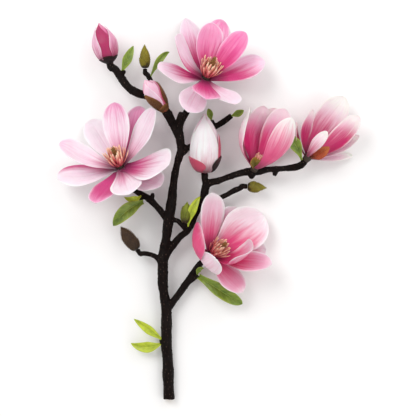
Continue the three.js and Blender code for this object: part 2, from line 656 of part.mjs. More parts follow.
const plans = [["wood", BARK, woodSolid]];
for (const [name, bloom] of Object.entries(BLOOMS)) {
  plans.push([`${name}_tepals`, bloom.finish, (grow) => tepalsSolid(bloom, grow)]);
  plans.push([`${name}_pistil`, PISTIL_OLIVE, (grow) => pistilSolid(bloom, grow)]);
  plans.push([`${name}_stamens`, STAMEN_PINK, (grow) => stamensSolid(bloom, grow)]);
}
for (const [name, bud] of Object.entries(BUDS)) {
  plans.push([name, bud.finish, (grow) => budSolid(bud, grow)]);
}
for (const [name, scales] of Object.entries(SCALES)) {
  plans.push([name, scales.finish, (grow) => scalesSolid(scales, grow)]);
}
for (const [name, leaf] of Object.entries({ ...SIDE_SCALES, ...LEAVES })) {
  const finish = SIDE_SCALES[name] ? SCALE_BROWN : leaf.young ? YOUNG_GREEN : LEAF_GREEN;
  plans.push([name, finish, (grow) => blade(leafSurface(leaf), LEAF_BLADE, grow, 4, 2)]);
}

const boxOf = (solid) => {
  const { min, max } = solid.boundingBox();
  return new THREE.Box3(vec(min), vec(max));
};

const underTable = solidOf(new THREE.BoxGeometry(800, 800, 100).translate(0, 0, TABLE - 50));
const group = new THREE.Group();
const cleared = [];

for (const [name, finish, build] of plans) {
  let solid = build(0).subtract(underTable);
  for (const earlier of cleared) {
    if (earlier.box.intersectsBox(boxOf(solid))) solid = largest(solid.subtract(earlier.solid));
  }
  const grown = build(GAP);
  cleared.push({ solid: grown, box: boxOf(grown) });

  const { numProp, vertProperties, triVerts } = solid.getMesh();
  const positions = [];
  for (let i = 0; i < vertProperties.length; i += numProp) {
    positions.push(vertProperties[i], vertProperties[i + 1], vertProperties[i + 2]);
  }
  const geometry = new THREE.BufferGeometry()
    .setAttribute("position", new THREE.Float32BufferAttribute(positions, 3))
    .setIndex(new THREE.BufferAttribute(triVerts, 1));
  const mesh = new THREE.Mesh(geometry, new THREE.MeshStandardMaterial(finish));
  mesh.name = name;
  group.add(mesh);
}

export default group;
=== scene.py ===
import math

import bmesh
import bpy
import numpy as np
from mathutils import Matrix, Vector, noise
from mathutils.kdtree import KDTree


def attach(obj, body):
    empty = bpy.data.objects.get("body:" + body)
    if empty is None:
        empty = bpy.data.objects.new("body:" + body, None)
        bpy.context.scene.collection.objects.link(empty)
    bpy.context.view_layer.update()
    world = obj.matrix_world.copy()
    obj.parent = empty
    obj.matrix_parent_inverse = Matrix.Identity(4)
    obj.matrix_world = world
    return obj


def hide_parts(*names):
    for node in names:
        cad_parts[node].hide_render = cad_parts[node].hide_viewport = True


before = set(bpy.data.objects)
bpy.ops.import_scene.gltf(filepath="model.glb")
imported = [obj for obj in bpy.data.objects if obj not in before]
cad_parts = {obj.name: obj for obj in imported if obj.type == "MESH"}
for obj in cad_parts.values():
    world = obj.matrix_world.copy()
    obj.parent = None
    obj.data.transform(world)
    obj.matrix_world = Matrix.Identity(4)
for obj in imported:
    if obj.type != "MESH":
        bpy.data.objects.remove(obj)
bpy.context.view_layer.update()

# A cut branch of saucer magnolia in flower. It lies on a pale floor and is seen from straight above, with the
# branch's tip at the top of the picture. Shapes are worked out in millimetres with +Z up, and made in metres.

mm = 0.001

view = {"lens": 100, "sensor": 36, "height": 1400, "aim": (0.8, 1.0)}

cameraData = bpy.data.cameras.new("topCamera")
cameraData.lens = view["lens"]
cameraData.sensor_width = view["sensor"]
camera = bpy.data.objects.new("topCamera", cameraData)
camera.location = (view["aim"][0] * mm, view["aim"][1] * mm, view["height"] * mm)
bpy.context.scene.collection.objects.link(camera)
bpy.context.scene.camera = camera
bpy.context.scene.view_settings.view_transform = "Standard"
print("camera set")


# helpers for directions and curves

def direction(heading, tilt):
    h, t = math.radians(heading), math.radians(tilt)
    return np.array([math.sin(t) * math.cos(h), math.sin(t) * math.sin(h), math.cos(t)])


def axesOf(part):
    # w runs along the bloom or bud; azimuth 0 is the side that leans down, 180 faces up, 90 is on the left
    w = direction(part["heading"], part["tilt"])
    e1 = direction(part["heading"], part["tilt"] + 90)
    return {"o": np.array(part["base"], float), "w": w, "e1": e1, "e2": np.cross(w, e1)}


def radialOf(axes, turn):
    turn = np.asarray(turn, float)[..., None]
    return axes["e1"] * np.cos(turn) + axes["e2"] * np.sin(turn)


def smooth(x, low=0.0, high=1.0):
    x = np.clip((np.asarray(x, float) - low) / (high - low), 0, 1)
    return x * x * (3 - 2 * x)


def unit(v):
    return v / np.maximum(np.linalg.norm(v, axis=-1, keepdims=True), 1e-9)


def throughPoints(points, step):
    # a centripetal Catmull-Rom line through points; each may carry its radius as a fourth number
    points = np.array(points, float)
    p = np.concatenate([[2 * points[0] - points[1]], points, [2 * points[-1] - points[-2]]])
    line = []
    for i in range(1, len(p) - 2):
        p0, p1, p2, p3 = p[i - 1:i + 3]
        t1 = np.linalg.norm((p1 - p0)[:3]) ** 0.5
        t2 = t1 + np.linalg.norm((p2 - p1)[:3]) ** 0.5
        t3 = t2 + np.linalg.norm((p3 - p2)[:3]) ** 0.5
        t = np.linspace(t1, t2, 24, endpoint=False)[:, None]
        a1 = (t1 - t) / t1 * p0 + t / t1 * p1
        a2 = (t2 - t) / (t2 - t1) * p1 + (t - t1) / (t2 - t1) * p2
        a3 = (t3 - t) / (t3 - t2) * p2 + (t - t2) / (t3 - t2) * p3
        b1 = (t2 - t) / t2 * a1 + t / t2 * a2
        b2 = (t3 - t) / (t3 - t1) * a2 + (t - t1) / (t3 - t1) * a3
        line.append((t2 - t) / (t2 - t1) * b1 + (t - t1) / (t2 - t1) * b2)
    line = np.concatenate(line + [p[-2:-1]])
    run = np.concatenate([[0], np.cumsum(np.linalg.norm(np.diff(line[:, :3], axis=0), axis=1))])
    even = np.linspace(0, run[-1], max(3, round(run[-1] / step) + 1))
    return np.stack([np.interp(even, run, line[:, k]) for k in range(line.shape[1])], -1), even


# helpers for node trees

class nodeValue:
    # an output of a node; sums, products and the like of such values become Math nodes
    def __init__(self, socket):
        self.socket, self.tree = socket, socket.id_data

    def __add__(self, other):
        return calc("ADD", self, other)

    def __sub__(self, other):
        return calc("SUBTRACT", self, other)

    def __rsub__(self, other):
        return calc("SUBTRACT", other, self)

    def __mul__(self, other):
        return calc("MULTIPLY", self, other)

    def __truediv__(self, other):
        return calc("DIVIDE", self, other)

    def __pow__(self, other):
        return calc("POWER", self, other)

    def __abs__(self):
        return calc("ABSOLUTE", self)


def treeOf(*values):
    return next(value.tree for value in values if isinstance(value, nodeValue))


def put(socket, value):
    if isinstance(value, nodeValue):
        value.tree.links.new(value.socket, socket)
    elif value is not None:
        socket.default_value = value


def addNode(tree, kind, values=None, **settings):
    node = tree.nodes.new(kind)
    for name, value in settings.items():
        setattr(node, name, value)
    for key, value in (values or {}).items():
        put(node.inputs[key], value)
    return node


def newValue(tree, kind, values=None, output=0, **settings):
    return nodeValue(addNode(tree, kind, values, **settings).outputs[output])


def calc(operation, *values):
    return newValue(treeOf(*values), "ShaderNodeMath", dict(enumerate(values)), operation=operation)


def clamped(value):
    # keeps a sum or product between 0 and 1
    value.socket.node.use_clamp = True
    return value


def fade(value, low, high, first=0.0, last=1.0):
    # goes smoothly from first to last as the value goes from low to high
    values = {"Value": value, "From Min": low, "From Max": high, "To Min": first, "To Max": last}
    return newValue(value.tree, "ShaderNodeMapRange", values, "Result", interpolation_type="SMOOTHSTEP")


def fadeOut(value, low, high):
    return fade(value, low, high, 1.0, 0.0)


def mixColor(share, a, b, blend="MIX"):
    values = {0: share, 6: a, 7: b}
    return newValue(treeOf(share, a, b), "ShaderNodeMix", values, 2, data_type="RGBA", blend_type=blend)


def rampOf(value, colors, steps):
    # goes on from one colour to the next over each step
    color = colors[0]
    for following, (low, high) in zip(colors[1:], steps):
        color = mixColor(fade(value, low, high), color, following)
    return color


def shaded(color, shade):
    return mixColor(1.0, color, vectorOf(shade, shade, shade), "MULTIPLY")


def noiseOf(vector, scale, detail=2.0, roughness=0.5):
    values = {"Vector": vector, "Scale": scale, "Detail": detail, "Roughness": roughness}
    return newValue(vector.tree, "ShaderNodeTexNoise", values, "Fac")


def vectorOf(x, y, z):
    return newValue(treeOf(x, y, z), "ShaderNodeCombineXYZ", {"X": x, "Y": y, "Z": z})


def partsOf(vector):
    node = addNode(vector.tree, "ShaderNodeSeparateXYZ", {"Vector": vector})
    return [nodeValue(part) for part in node.outputs]


def markOf(tree, name, output="Fac"):
    return newValue(tree, "ShaderNodeAttribute", output=output, attribute_name=name)


def placeOf(tree):
    return newValue(tree, "ShaderNodeTexCoord", output="Object")


def bladeOf(tree):
    # across runs from -1 to 1 over a blade and along from 0 at its root to 1 at its tip
    place = partsOf(newValue(tree, "ShaderNodeUVMap", uv_map="blade"))
    return place[0] * 2.0 - 1.0, place[1]


def newTree(name, kind, inputs, outputs):
    # inputs and outputs give the kind of each socket by its name
    tree = bpy.data.node_groups.new(name, kind)
    for way, sockets in (("INPUT", inputs), ("OUTPUT", outputs)):
        for socketName, socketKind in sockets.items():
            tree.interface.new_socket(socketName, in_out=way, socket_type="NodeSocket" + socketKind)
    given = {socket.name: nodeValue(socket) for socket in addNode(tree, "NodeGroupInput").outputs}
    return tree, given, addNode(tree, "NodeGroupOutput").inputs


def hexColor(code, shade=1.0):
    # a colour written as on the web, in the linear values that shaders take
    parts = [int(code[i:i + 2], 16) / 255 for i in (0, 2, 4)]
    linear = (c / 12.92 if c <= 0.04045 else ((c + 0.055) / 1.055) ** 2.4 for c in parts)
    return tuple(shade * c for c in linear) + (1.0,)


def hexColors(codes):
    return [hexColor(code) for code in codes]


# helpers for materials

def newMaterial(name, roughness=0.5, **fixed):
    # fixed gives shader sockets that are the same all over the surface
    material = bpy.data.materials.new(name)
    material.use_nodes = True
    shader = material.node_tree.nodes["Principled BSDF"]
    shader.inputs["Roughness"].default_value = roughness
    for key, value in fixed.items():
        shader.inputs[key.replace("_", " ")].default_value = value
    return material, material.node_tree, shader


def addCoat(shader, color, height=None, relief=(0.5, 0.2), roughness=None):
    # relief is the strength of the bumps and their height in millimetres
    put(shader.inputs["Base Color"], color)
    put(shader.inputs["Roughness"], roughness)
    if height:
        values = {"Height": height, "Strength": relief[0], "Distance": relief[1] * mm}
        put(shader.inputs["Normal"], newValue(height.tree, "ShaderNodeBump", values, "Normal"))


def spottedSkin(name, colors, scale, detail=2.0, contrast=None, relief=None, **fixed):
    # two colours mixed by noise
    material, tree, shader = newMaterial(name, **fixed)
    spots = noiseOf(placeOf(tree), scale, detail)
    color = mixColor(fade(spots, *contrast) if contrast else spots, *colors)
    addCoat(shader, color, spots if relief else None, relief)
    return material


def newTint(name, colors, numbers=()):
    # a node group that makes a skin's colour, height and roughness
    inputs = dict.fromkeys(colors, "Color") | dict.fromkeys(numbers, "Float")
    outputs = {"Color": "Color", "Height": "Float", "Roughness": "Float"}
    return newTree(name, "ShaderNodeTree", inputs, outputs)


def tintedSkin(name, tint, values, relief, **fixed):
    # a material that uses a tint, with its own colours and numbers
    material, tree, shader = newMaterial(name, **fixed)
    group = addNode(tree, "ShaderNodeGroup", node_tree=tint)
    for key, value in values.items():
        group.inputs[key].default_value = hexColor(value) if isinstance(value, str) else value
    color, height, roughness = (nodeValue(socket) for socket in group.outputs)
    addCoat(shader, color, height, relief, roughness)
    return material


# helpers for geometry trees

def newShaping(name, inputs):
    # a tree that takes a mesh or curve and gives a mesh
    return newTree(name, "GeometryNodeTree", {"Geometry": "Geometry"} | inputs, {"Geometry": "Geometry"})


def copiesOn(points, shape, rotation, scale):
    values = {"Points": points, "Instance": shape, "Rotation": rotation, "Scale": scale}
    return newValue(points.tree, "GeometryNodeInstanceOnPoints", values)


def painted(geometry, skin):
    real = newValue(geometry.tree, "GeometryNodeRealizeInstances", {"Geometry": geometry})
    return newValue(geometry.tree, "GeometryNodeSetMaterial", {"Geometry": real, "Material": skin})


def joined(*parts):
    join = addNode(parts[0].tree, "GeometryNodeJoinGeometry")
    for part in parts:
        put(join.inputs[0], part)
    return nodeValue(join.outputs[0])


def alignedTo(way):
    # the rotation that turns +Z to a direction
    return newValue(way.tree, "FunctionNodeAlignRotationToVector", {"Vector": way}, axis="Z")


def scaledBy(vector, factor):
    return newValue(vector.tree, "ShaderNodeVectorMath", {0: vector, "Scale": factor}, operation="SCALE")


def summed(a, b):
    return newValue(a.tree, "ShaderNodeVectorMath", {0: a, 1: b}, operation="ADD")


def randomOf(tree, low, high, seed):
    return newValue(tree, "FunctionNodeRandomValue", {2: low, 3: high, "Seed": seed}, 1, data_type="FLOAT")


def runTree(data, tree, settings):
    # runs a geometry tree on a mesh or curve with its named inputs and gives back a plain mesh
    holder = bpy.data.objects.new(data.name + "Holder", data)
    bpy.context.scene.collection.objects.link(holder)
    modifier = holder.modifiers.new("made", "NODES")
    modifier.node_group = tree
    for item in tree.interface.items_tree:
        if item.in_out == "INPUT" and item.name in settings:
            modifier[item.identifier] = settings[item.name]
    graph = bpy.context.evaluated_depsgraph_get()
    evaluated = holder.evaluated_get(graph)
    made = bpy.data.meshes.new_from_object(evaluated, preserve_all_data_layers=True, depsgraph=graph)
    holder.modifiers.remove(modifier)
    bpy.data.objects.remove(holder)
    return made


# helpers for meshes

def sheetShell(middle, thickness, rim=0.4, **marks):
    # a closed blade round a middle surface, given as a grid of points [root to tip][edge to edge]
    rows, columns = middle.shape[:2]
    normal = unit(np.cross(np.gradient(middle, axis=0), np.gradient(middle, axis=1)))
    t = np.linspace(-1, 1, columns)[None, :, None]
    s = np.linspace(0, 1, rows)[:, None, None]
    half = thickness / 2 * (1 - (1 - rim) * np.maximum(np.abs(t) ** 5, s ** 14))
    verts = np.concatenate([(middle + normal * half).reshape(-1, 3), (middle - normal * half).reshape(-1, 3)])
    verts[:, 2] = np.maximum(verts[:, 2], 0.0)
    index = np.arange(rows * columns).reshape(rows, columns)
    faces = np.stack([index[:-1, :-1], index[1:, :-1], index[1:, 1:], index[:-1, 1:]], -1).reshape(-1, 4)
    ring = np.concatenate([index[0, :-1], index[:-1, -1], index[-1, :0:-1], index[:0:-1, 0]])
    following = np.roll(ring, -1)
    count = rows * columns
    rimFaces = np.stack([ring, following, following + count, ring + count], -1)
    uv = np.stack(np.meshgrid(np.linspace(0, 1, columns), np.linspace(0, 1, rows)), -1).reshape(-1, 2)
    marks = {key: np.full(2 * count, float(value)) for key, value in marks.items()}
    marks["inner"] = np.repeat([1.0, 0.0], count)
    return {"verts": verts, "faces": np.concatenate([faces, faces[:, ::-1] + count, rimFaces]).tolist(),
            "uv": np.concatenate([uv, uv]), "marks": marks}


def tubeShell(rings, **marks):
    # a closed tube from rings of points [along][round]
    rows, sides = rings.shape[:2]
    verts = np.concatenate([rings.reshape(-1, 3), rings[0].mean(0)[None], rings[-1].mean(0)[None]])
    index = np.arange(rows * sides).reshape(rows, sides)
    turned = np.roll(index, -1, axis=1)
    faces = np.stack([index[:-1], turned[:-1], turned[1:], index[1:]], -1).reshape(-1, 4).tolist()
    low, high = rows * sides, rows * sides + 1
    faces += np.stack([np.full(sides, low), turned[0], index[0]], -1).tolist()
    faces += np.stack([np.full(sides, high), index[-1], turned[-1]], -1).tolist()
    across, along = np.abs(np.linspace(-1, 1, sides)), np.linspace(0, 1, rows)
    uv = np.stack([np.tile(across, rows), np.repeat(along, sides)], -1)
    marks = {key: np.full(len(verts), float(value)) for key, value in marks.items()}
    return {"verts": verts, "faces": faces, "uv": np.concatenate([uv, [[0.5, 0], [0.5, 1]]]), "marks": marks}


def turnedShell(axes, profile, sides=40, **marks):
    # profile points are [distance from the axis, height along it]
    profile = np.array(profile, float)
    around = radialOf(axes, np.linspace(0, 2 * math.pi, sides, endpoint=False))[None]
    middle = axes["o"] + axes["w"] * profile[:, 1, None, None]
    return tubeShell(middle + around * profile[:, 0, None, None], **marks)


# the numbers that each tepal carries for its skin
tepalMarks = ("tone", "reach", "slant", "blush", "band")


def makeMesh(name, shells, materials):
    # joins shells into one mesh; a shell's "slot" says which of the materials it has
    faces, slots, start = [], [], 0
    for shell in shells:
        faces += [[v + start for v in face] for face in shell["faces"]]
        slots += [shell.get("slot", 0)] * len(shell["faces"])
        start += len(shell["verts"])
    mesh = bpy.data.meshes.new(name)
    mesh.from_pydata((np.concatenate([s["verts"] for s in shells]) * mm).tolist(), [], faces)
    mesh.polygons.foreach_set("use_smooth", [True] * len(faces))
    mesh.polygons.foreach_set("material_index", slots)
    corner = np.empty(len(mesh.loops), int)
    mesh.loops.foreach_get("vertex_index", corner)
    uv = np.concatenate([s["uv"] for s in shells])
    mesh.uv_layers.new(name="blade").data.foreach_set("uv", uv[corner].ravel())
    for key in ("inner", *tepalMarks, "seed"):
        values = np.concatenate([s["marks"].get(key, np.zeros(len(s["verts"]))) for s in shells])
        mesh.attributes.new(key, "FLOAT", "POINT").data.foreach_set("value", values)
    for material in materials:
        mesh.materials.append(material)
    mesh.update()
    return mesh


def pieceName(node):
    # the frame's low_bloom_stamens is lowBloomStamens here
    first, *others = node.split("_")
    return first + "".join(word.title() for word in others)


def addPiece(mesh, node, name=None):
    # puts a finished mesh in the scene, where it stands for one node of the frame
    name = name or pieceName(node)
    mesh.name = name
    piece = bpy.data.objects.new(name, mesh)
    bpy.context.scene.collection.objects.link(piece)
    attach(piece, "root")
    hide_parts(node)


# the skin of tepals: a flush at the root, streaks, pale margins and fine veins, on both faces of the blade

def buildTepalTint():
    tree, given, out = newTint("tepalTint", ("pale", "deep", "base", "margin", "back"),
                               ("baseReach", "marginWidth", "tipStart", "veinStrength"))
    across, along = bladeOf(tree)
    side = abs(across)
    sideSquared = side * side
    tone, shift, slant, blush, band = (markOf(tree, key) for key in tepalMarks)
    seed = markOf(tree, "seed") * 31.0

    # streaks run from root to tip, so they are drawn on the blade's own coordinates
    wobble = noiseOf(vectorOf(across * 5.0, along * 1.1, seed), 1.6, 4.0, 0.6) - 0.5
    fine = noiseOf(vectorOf(across * 24.0, along * 2.2, seed), 1.5, 3.0, 0.6)
    mottle = noiseOf(placeOf(tree), 90.0, 3.0, 0.55)

    reach = given["baseReach"] + shift + across * slant + wobble * 0.45 - sideSquared * 0.12 + tone * 0.08
    flush = fadeOut(along - reach, -0.20, 0.26)
    backFlush = fadeOut(along - reach * 1.4, -0.30, 0.34)
    tipBlush = blush * fade(wobble * 0.5 + along, 0.38, 0.85)
    depth = clamped(wobble * 0.8 + tone + (0.55 - along) * 0.35 - sideSquared * 0.3 + tipBlush)
    face = mixColor(depth, given["pale"], given["deep"])
    face = mixColor(flush, face, given["base"])

    # the margin and the tip are pale, less so on deep blades
    edge = fade(mottle * 0.3 + side + given["marginWidth"] - 1.15, 0.0, 0.38)
    tipEdge = fade(wobble * 0.65 + along, given["tipStart"], given["tipStart"] + 0.34)
    margin = calc("MAXIMUM", edge, tipEdge) * (1.0 - tone * 0.5) * fade(along, 0.12, 0.5)
    margin = margin * clamped(1.0 - tipBlush * 0.8)
    face = mixColor(margin * 0.9, face, given["margin"])

    # painted shade: on some blades a band of the base colour runs along one edge, where the next tepal shades
    # it
    edgeShade = fade(wobble * 0.5 + across * band, 0.3, 0.9) * fadeOut(along, 0.6, 0.95)
    face = mixColor(edgeShade * 0.9, face, given["base"])

    back = mixColor(clamped(wobble * 0.9 + tone * 0.9 + 0.12), given["pale"], given["back"])
    back = mixColor(margin * 0.75, back, given["margin"])
    back = mixColor(backFlush * 0.92, back, given["base"])

    # veins fan out from the root and fade towards the tip
    wave = abs(calc("SINE", ((fine - 0.5) * 1.3 + across * 11.0) * math.pi))
    vein = calc("MAXIMUM", fadeOut(wave, 0.0, 0.34) * 0.75, fadeOut(side, 0.0, 0.05))
    shown = vein * fadeOut(along, 0.05, 1.0) * given["veinStrength"]

    color = mixColor(shown, mixColor(markOf(tree, "inner"), back, face), given["base"])
    # painted shade: the root is darker still, where the tepals close round the receptacle
    shadow = (mottle * 0.16 + 0.92) * fade(along, 0.02, 0.24, 0.42, 1.0)
    put(out["Color"], shaded(color, shadow))
    put(out["Height"], fine * 0.8 - vein * 0.6 + mottle * 0.4)
    put(out["Roughness"], fine * 0.22 + 0.36)
    return tree


tepalTint = buildTepalTint()


def tepalSkin(name, colors, look):
    return tintedSkin(name, tepalTint, colors | look, (0.45, 0.35), Subsurface_Weight=0.45,
                      Subsurface_Scale=2.4 * mm, Subsurface_Radius=(1.0, 0.6, 0.8), Sheen_Weight=0.08,
                      Sheen_Roughness=0.4)


# a tepal's common form; the last entries are, in millimetres, a swayed midrib, a waved and rolled rim, a tip
# that curls back, a soft channel and low ribs
tepalForm = {"claw": 0.26, "broadest": 0.62, "taper": 2.6, "blunt": 0.58, "rootRadius": 4.1, "outerDrop": 1.5,
             "thickness": 0.7, "rows": 40, "columns": 25, "waves": 7.5,
             "sway": 1.6, "ruffle": 0.9, "roll": 1.2, "tipCurl": 1.5, "channel": 0.45, "ribs": 0.07}


def outline(s, form):
    # half a blade's width at s along it, as a share of half its full width
    rise = form["claw"] + (1 - form["claw"]) * smooth(s, 0, form["broadest"])
    past = np.clip((s - form["broadest"]) / (1 - form["broadest"]), 0, 1)
    return np.maximum(rise * (1 - past ** form["taper"]) ** form["blunt"], 0.045)


def acrossBlade(columns):
    # from edge to edge, -1 to 1, with columns closer together near the edges
    end = 1.45
    return np.sin(np.linspace(-end, end, columns))[None, :] / math.sin(end)


def midribLine(rise, run, bendAt):
    # a midrib that bends by bendAt and ends at rise and run: its height and radius at s, and how far it leans
    pieces = 60
    knots = np.linspace(0, 1, pieces + 1)
    middles = bendAt((knots[1:] + knots[:-1]) / 2)
    h = np.concatenate([[0], np.cumsum(np.cos(middles)) / pieces])
    r = np.concatenate([[0], np.cumsum(np.sin(middles)) / pieces])
    span = math.hypot(rise, run) / math.hypot(h[-1], r[-1])
    lean = math.atan2(run, rise) - math.atan2(r[-1], h[-1])

    def pointAt(s):
        along, out = np.interp(s, knots, h) * span, np.interp(s, knots, r) * span
        return along * math.cos(lean) - out * math.sin(lean), along * math.sin(lean) + out * math.cos(lean)

    return pointAt, lean


def tepalSheet(axes, tepal, order):
    # the middle surface of a tepal; its midrib bends by cup and flare between the receptacle and its tip
    form = tepalForm | tepal
    tip = np.array(tepal["tip"], float)
    tipHeight = tip @ axes["w"]
    tipRadius = math.sqrt(max(tip @ tip - tipHeight ** 2, 0))
    turn = math.atan2(tip @ axes["e2"], tip @ axes["e1"])
    rootHeight = -form["outerDrop"] if tepal["outer"] else 0.0

    def bendAt(s):
        return np.radians(tepal["cup"] * np.cos(np.pi * s) + tepal["flare"] * s ** 3)

    pointAt, lean = midribLine(tipHeight - rootHeight, tipRadius - form["rootRadius"], bendAt)
    s = np.sin(np.linspace(0, math.pi / 2, form["rows"]))[:, None]
    t = acrossBlade(form["columns"])
    height, radius = pointAt(s)
    height, radius = rootHeight + height, form["rootRadius"] + radius
    slope = lean + bendAt(s)
    share = outline(s, form)
    half = tepal["width"] / 2 * share
    # the blade wraps round the bloom's axis, more closely near its root
    bend = np.clip(0.85 * half * np.maximum(np.cos(slope), 0) / np.maximum(radius, 2) + 0.18, 0.05, 1.4)
    across = half * np.sin(bend * t) / bend
    inward = half * (1 - np.cos(bend * t)) / bend

    phase = 2.1 * order
    across = across + form["sway"] * math.sin(phase * 1.7) * np.sin(np.pi * s)
    wave = form["ruffle"] * np.sin(form["waves"] * s + np.sign(t) * 1.3 + phase)
    inward = inward + wave * np.abs(t) ** 3 * smooth(s, 0.2, 0.7) * share
    inward = inward - form["roll"] * np.abs(t) ** 5 * smooth(s, 0.35, 0.8) * share ** 1.5
    inward = inward - form["tipCurl"] * smooth(s, 0.86, 1.0) * (1 - 0.5 * t * t)
    channel = form["channel"] * np.exp(-(t / 0.09) ** 2)
    inward = inward - channel * smooth(s, 0.0, 0.3) * (1 - smooth(s, 0.75, 1.0))
    inward = inward + form["ribs"] * np.sin(9 * np.pi * t + phase) * (1 - t * t) * np.sin(np.pi * s)

    radial, side = radialOf(axes, turn), radialOf(axes, turn + math.pi / 2)
    inwardWay = axes["w"] * np.sin(slope)[..., None] - radial * np.cos(slope)[..., None]
    middle = axes["o"] + axes["w"] * height[..., None] + radial * radius[..., None]
    middle = middle + side * across[..., None] + inwardWay * inward[..., None]
    middle[..., 2] = np.maximum(middle[..., 2], form["thickness"] / 2)
    return middle


# each tepal has its layer (1 outer, 0 inner), where its tip ends from the foot of the bloom, its width, cup,
# flare and tone, from 0 pale to 1 deep; what makes it differ from its neighbours comes last: how much further
# the flush reaches, how much it slants, how strong a band of painted shade runs along one edge, how much
# the tip blushes, and its own outline or roll
tepalFields = ("outer", "tip", "width", "cup", "flare", "tone", "own")

leftBloom = {
    "base": (-104, 49.7, 25), "heading": 108, "tilt": 50, "slot": "pale_tepal",
    "tepals": [
        (1, (-39, 58, -24.5), 36, 8, 8, 0.0, {"reach": -0.26}),
        (1, (-75, -11, 2), 40, 12, 4, 0.0, {"reach": -0.16, "slant": -0.4, "band": -1.1}),
        (1, (-25, -42, 46), 34, 12, 8, 0.90, {"reach": 0.3}),
        (1, (50, -22, 30), 38, 12, 8, 0.15, {}),
        (1, (22, 75, -24.5), 36, 8, 6, 0.90, {}),
        (0, (-6, 76, 8), 36, 12, 4, 0.1, {"reach": -0.1, "blush": 0.8}),
        (0, (-69, 27, 22), 40, 14, 4, 0.0, {"reach": -0.16, "blush": 0.4}),
        (0, (15, -32, 62), 38, 14, 14, 0.0, {"reach": -0.08}),
        (0, (59, 2, 43), 56, 12, 8, 0.0, {"reach": 0.08, "broadest": 0.68}),
        (0, (41, 69, 14), 36, 10, 4, 0.10, {"reach": -0.1, "blush": 0.2}),
    ],
    "colors": {"pale": "f2dde7", "deep": "d970a4", "base": "c2387a", "margin": "f5eef2", "back": "e6b6cd"},
    "look": {"baseReach": 0.24, "marginWidth": 0.45, "tipStart": 0.76, "veinStrength": 0.18},
    "stamens": {"count": 36, "size": 1.05, "lean": 50}, "pistil": {"height": 33, "count": 40},
}
topBloom = {
    "base": (-2, 155.5, 27), "heading": 63.4, "tilt": 48, "slot": "pink_tepal",
    "tepals": [
        (1, (-24, 76, -26.5), 34, 8, 8, 0.15, {"reach": 0.02, "taper": 1.9, "blunt": 0.75}),
        (1, (20, 74, -26.5), 32, 10, 10, 0.5, {"blush": 0.4}),
        (1, (70, 20, 2), 40, 10, 8, 0.3, {"reach": 0.08, "slant": -0.35}),
        (1, (34, -34, 44), 36, 12, 10, 0.0, {"reach": -0.22}),
        (1, (-20, -43, 44), 34, 12, 10, 0.0, {"reach": -0.26}),
        (1, (-55, 9, 32), 34, 12, 8, 0.1, {"reach": -0.06, "slant": -0.3}),
        (0, (7, 63, 14), 38, 14, 2, 0.70, {"reach": -0.14, "slant": -0.15}),
        (0, (47, 51, 18), 34, 12, 4, 0.90, {"reach": -0.06}),
        (0, (1, -30, 62), 36, 14, 12, 0.8, {"taper": 1.8, "blunt": 0.75}),
        (0, (-34, 43, 38), 46, 22, -2, 0.0, {"reach": -0.1, "slant": 0.4, "band": 1.0}),
    ],
    "colors": {"pale": "f1d8e5", "deep": "e868a6", "base": "c62c76", "margin": "f6eaf0", "back": "e59cc2"},
    "look": {"baseReach": 0.32, "marginWidth": 0.35, "tipStart": 0.79, "veinStrength": 0.24},
    "stamens": {"count": 36, "size": 1.05, "lean": 48}, "pistil": {"height": 36, "count": 42},
}
lowBloom = {
    "base": (4.6, -54.3, 26), "heading": 38, "tilt": 52, "slot": "pink_tepal",
    "tepals": [
        (1, (2, 73, 6), 44, 9, 2, 0.3, {"reach": -0.06}),
        (1, (33, 55, -21), 38, 12, 2, 0.3, {}),
        (1, (66, 8, -25.5), 36, 12, 4, 0.4, {}),
        (1, (37, -44, 8), 42, 14, 10, 0.6, {"reach": -0.12}),
        (1, (-9, 27, 53), 48, 42, 0, 0.3, {"reach": 0.3, "roll": 2.2, "tipCurl": 1.5, "broadest": 0.66}),
        (0, (64, 46, -10), 58, 16, 0, 0.0, {"reach": 0.02, "slant": -0.3}),
        (0, (71, -10, 14), 36, 12, 6, 0.6, {}),
        (0, (47, 8, 28), 50, 34, -4, 0.4, {"reach": 0.05, "broadest": 0.74, "taper": 3.6}),
        (0, (6, -2, 57), 36, 42, 0, 0.0, {"reach": -0.25}),
    ],
    "colors": {"pale": "e9d2da", "deep": "e06a9c", "base": "d42a70", "margin": "efe9eb", "back": "c83a70"},
    "look": {"baseReach": 0.33, "marginWidth": 0.46, "tipStart": 0.6, "veinStrength": 0.24},
    "stamens": {"count": 34, "size": 1.0, "lean": 46}, "pistil": {"height": 32, "count": 36},
}
cupBloom = {
    "base": (57, 50, 27), "heading": 66, "tilt": 72, "slot": "pink_tepal",
    "tepals": [
        (1, (-6, 68, 20), 42, 36, 4, 0.0, {"reach": -0.1}),
        (1, (39, 55, 42), 35, 32, 8, 0.0, {"reach": 0.08}),
        (1, (26, 70, -12), 42, 36, 4, 0.5, {"reach": -0.02}),
        (0, (11, 72, -2), 38, 34, 2, 0.75, {"reach": 0.04}),
        (0, (35, 68, 4), 38, 32, 4, 0.75, {"reach": 0.04}),
    ],
    "colors": {"pale": "f1e0e4", "deep": "ff94c8", "base": "d41c70", "margin": "f5f3ee", "back": "ecd4d8"},
    "look": {"baseReach": 0.32, "marginWidth": 0.46, "tipStart": 0.37, "veinStrength": 0.2},
    "stamens": {"count": 18, "size": 0.55, "lean": 24}, "pistil": {"height": 16, "count": 18},
}
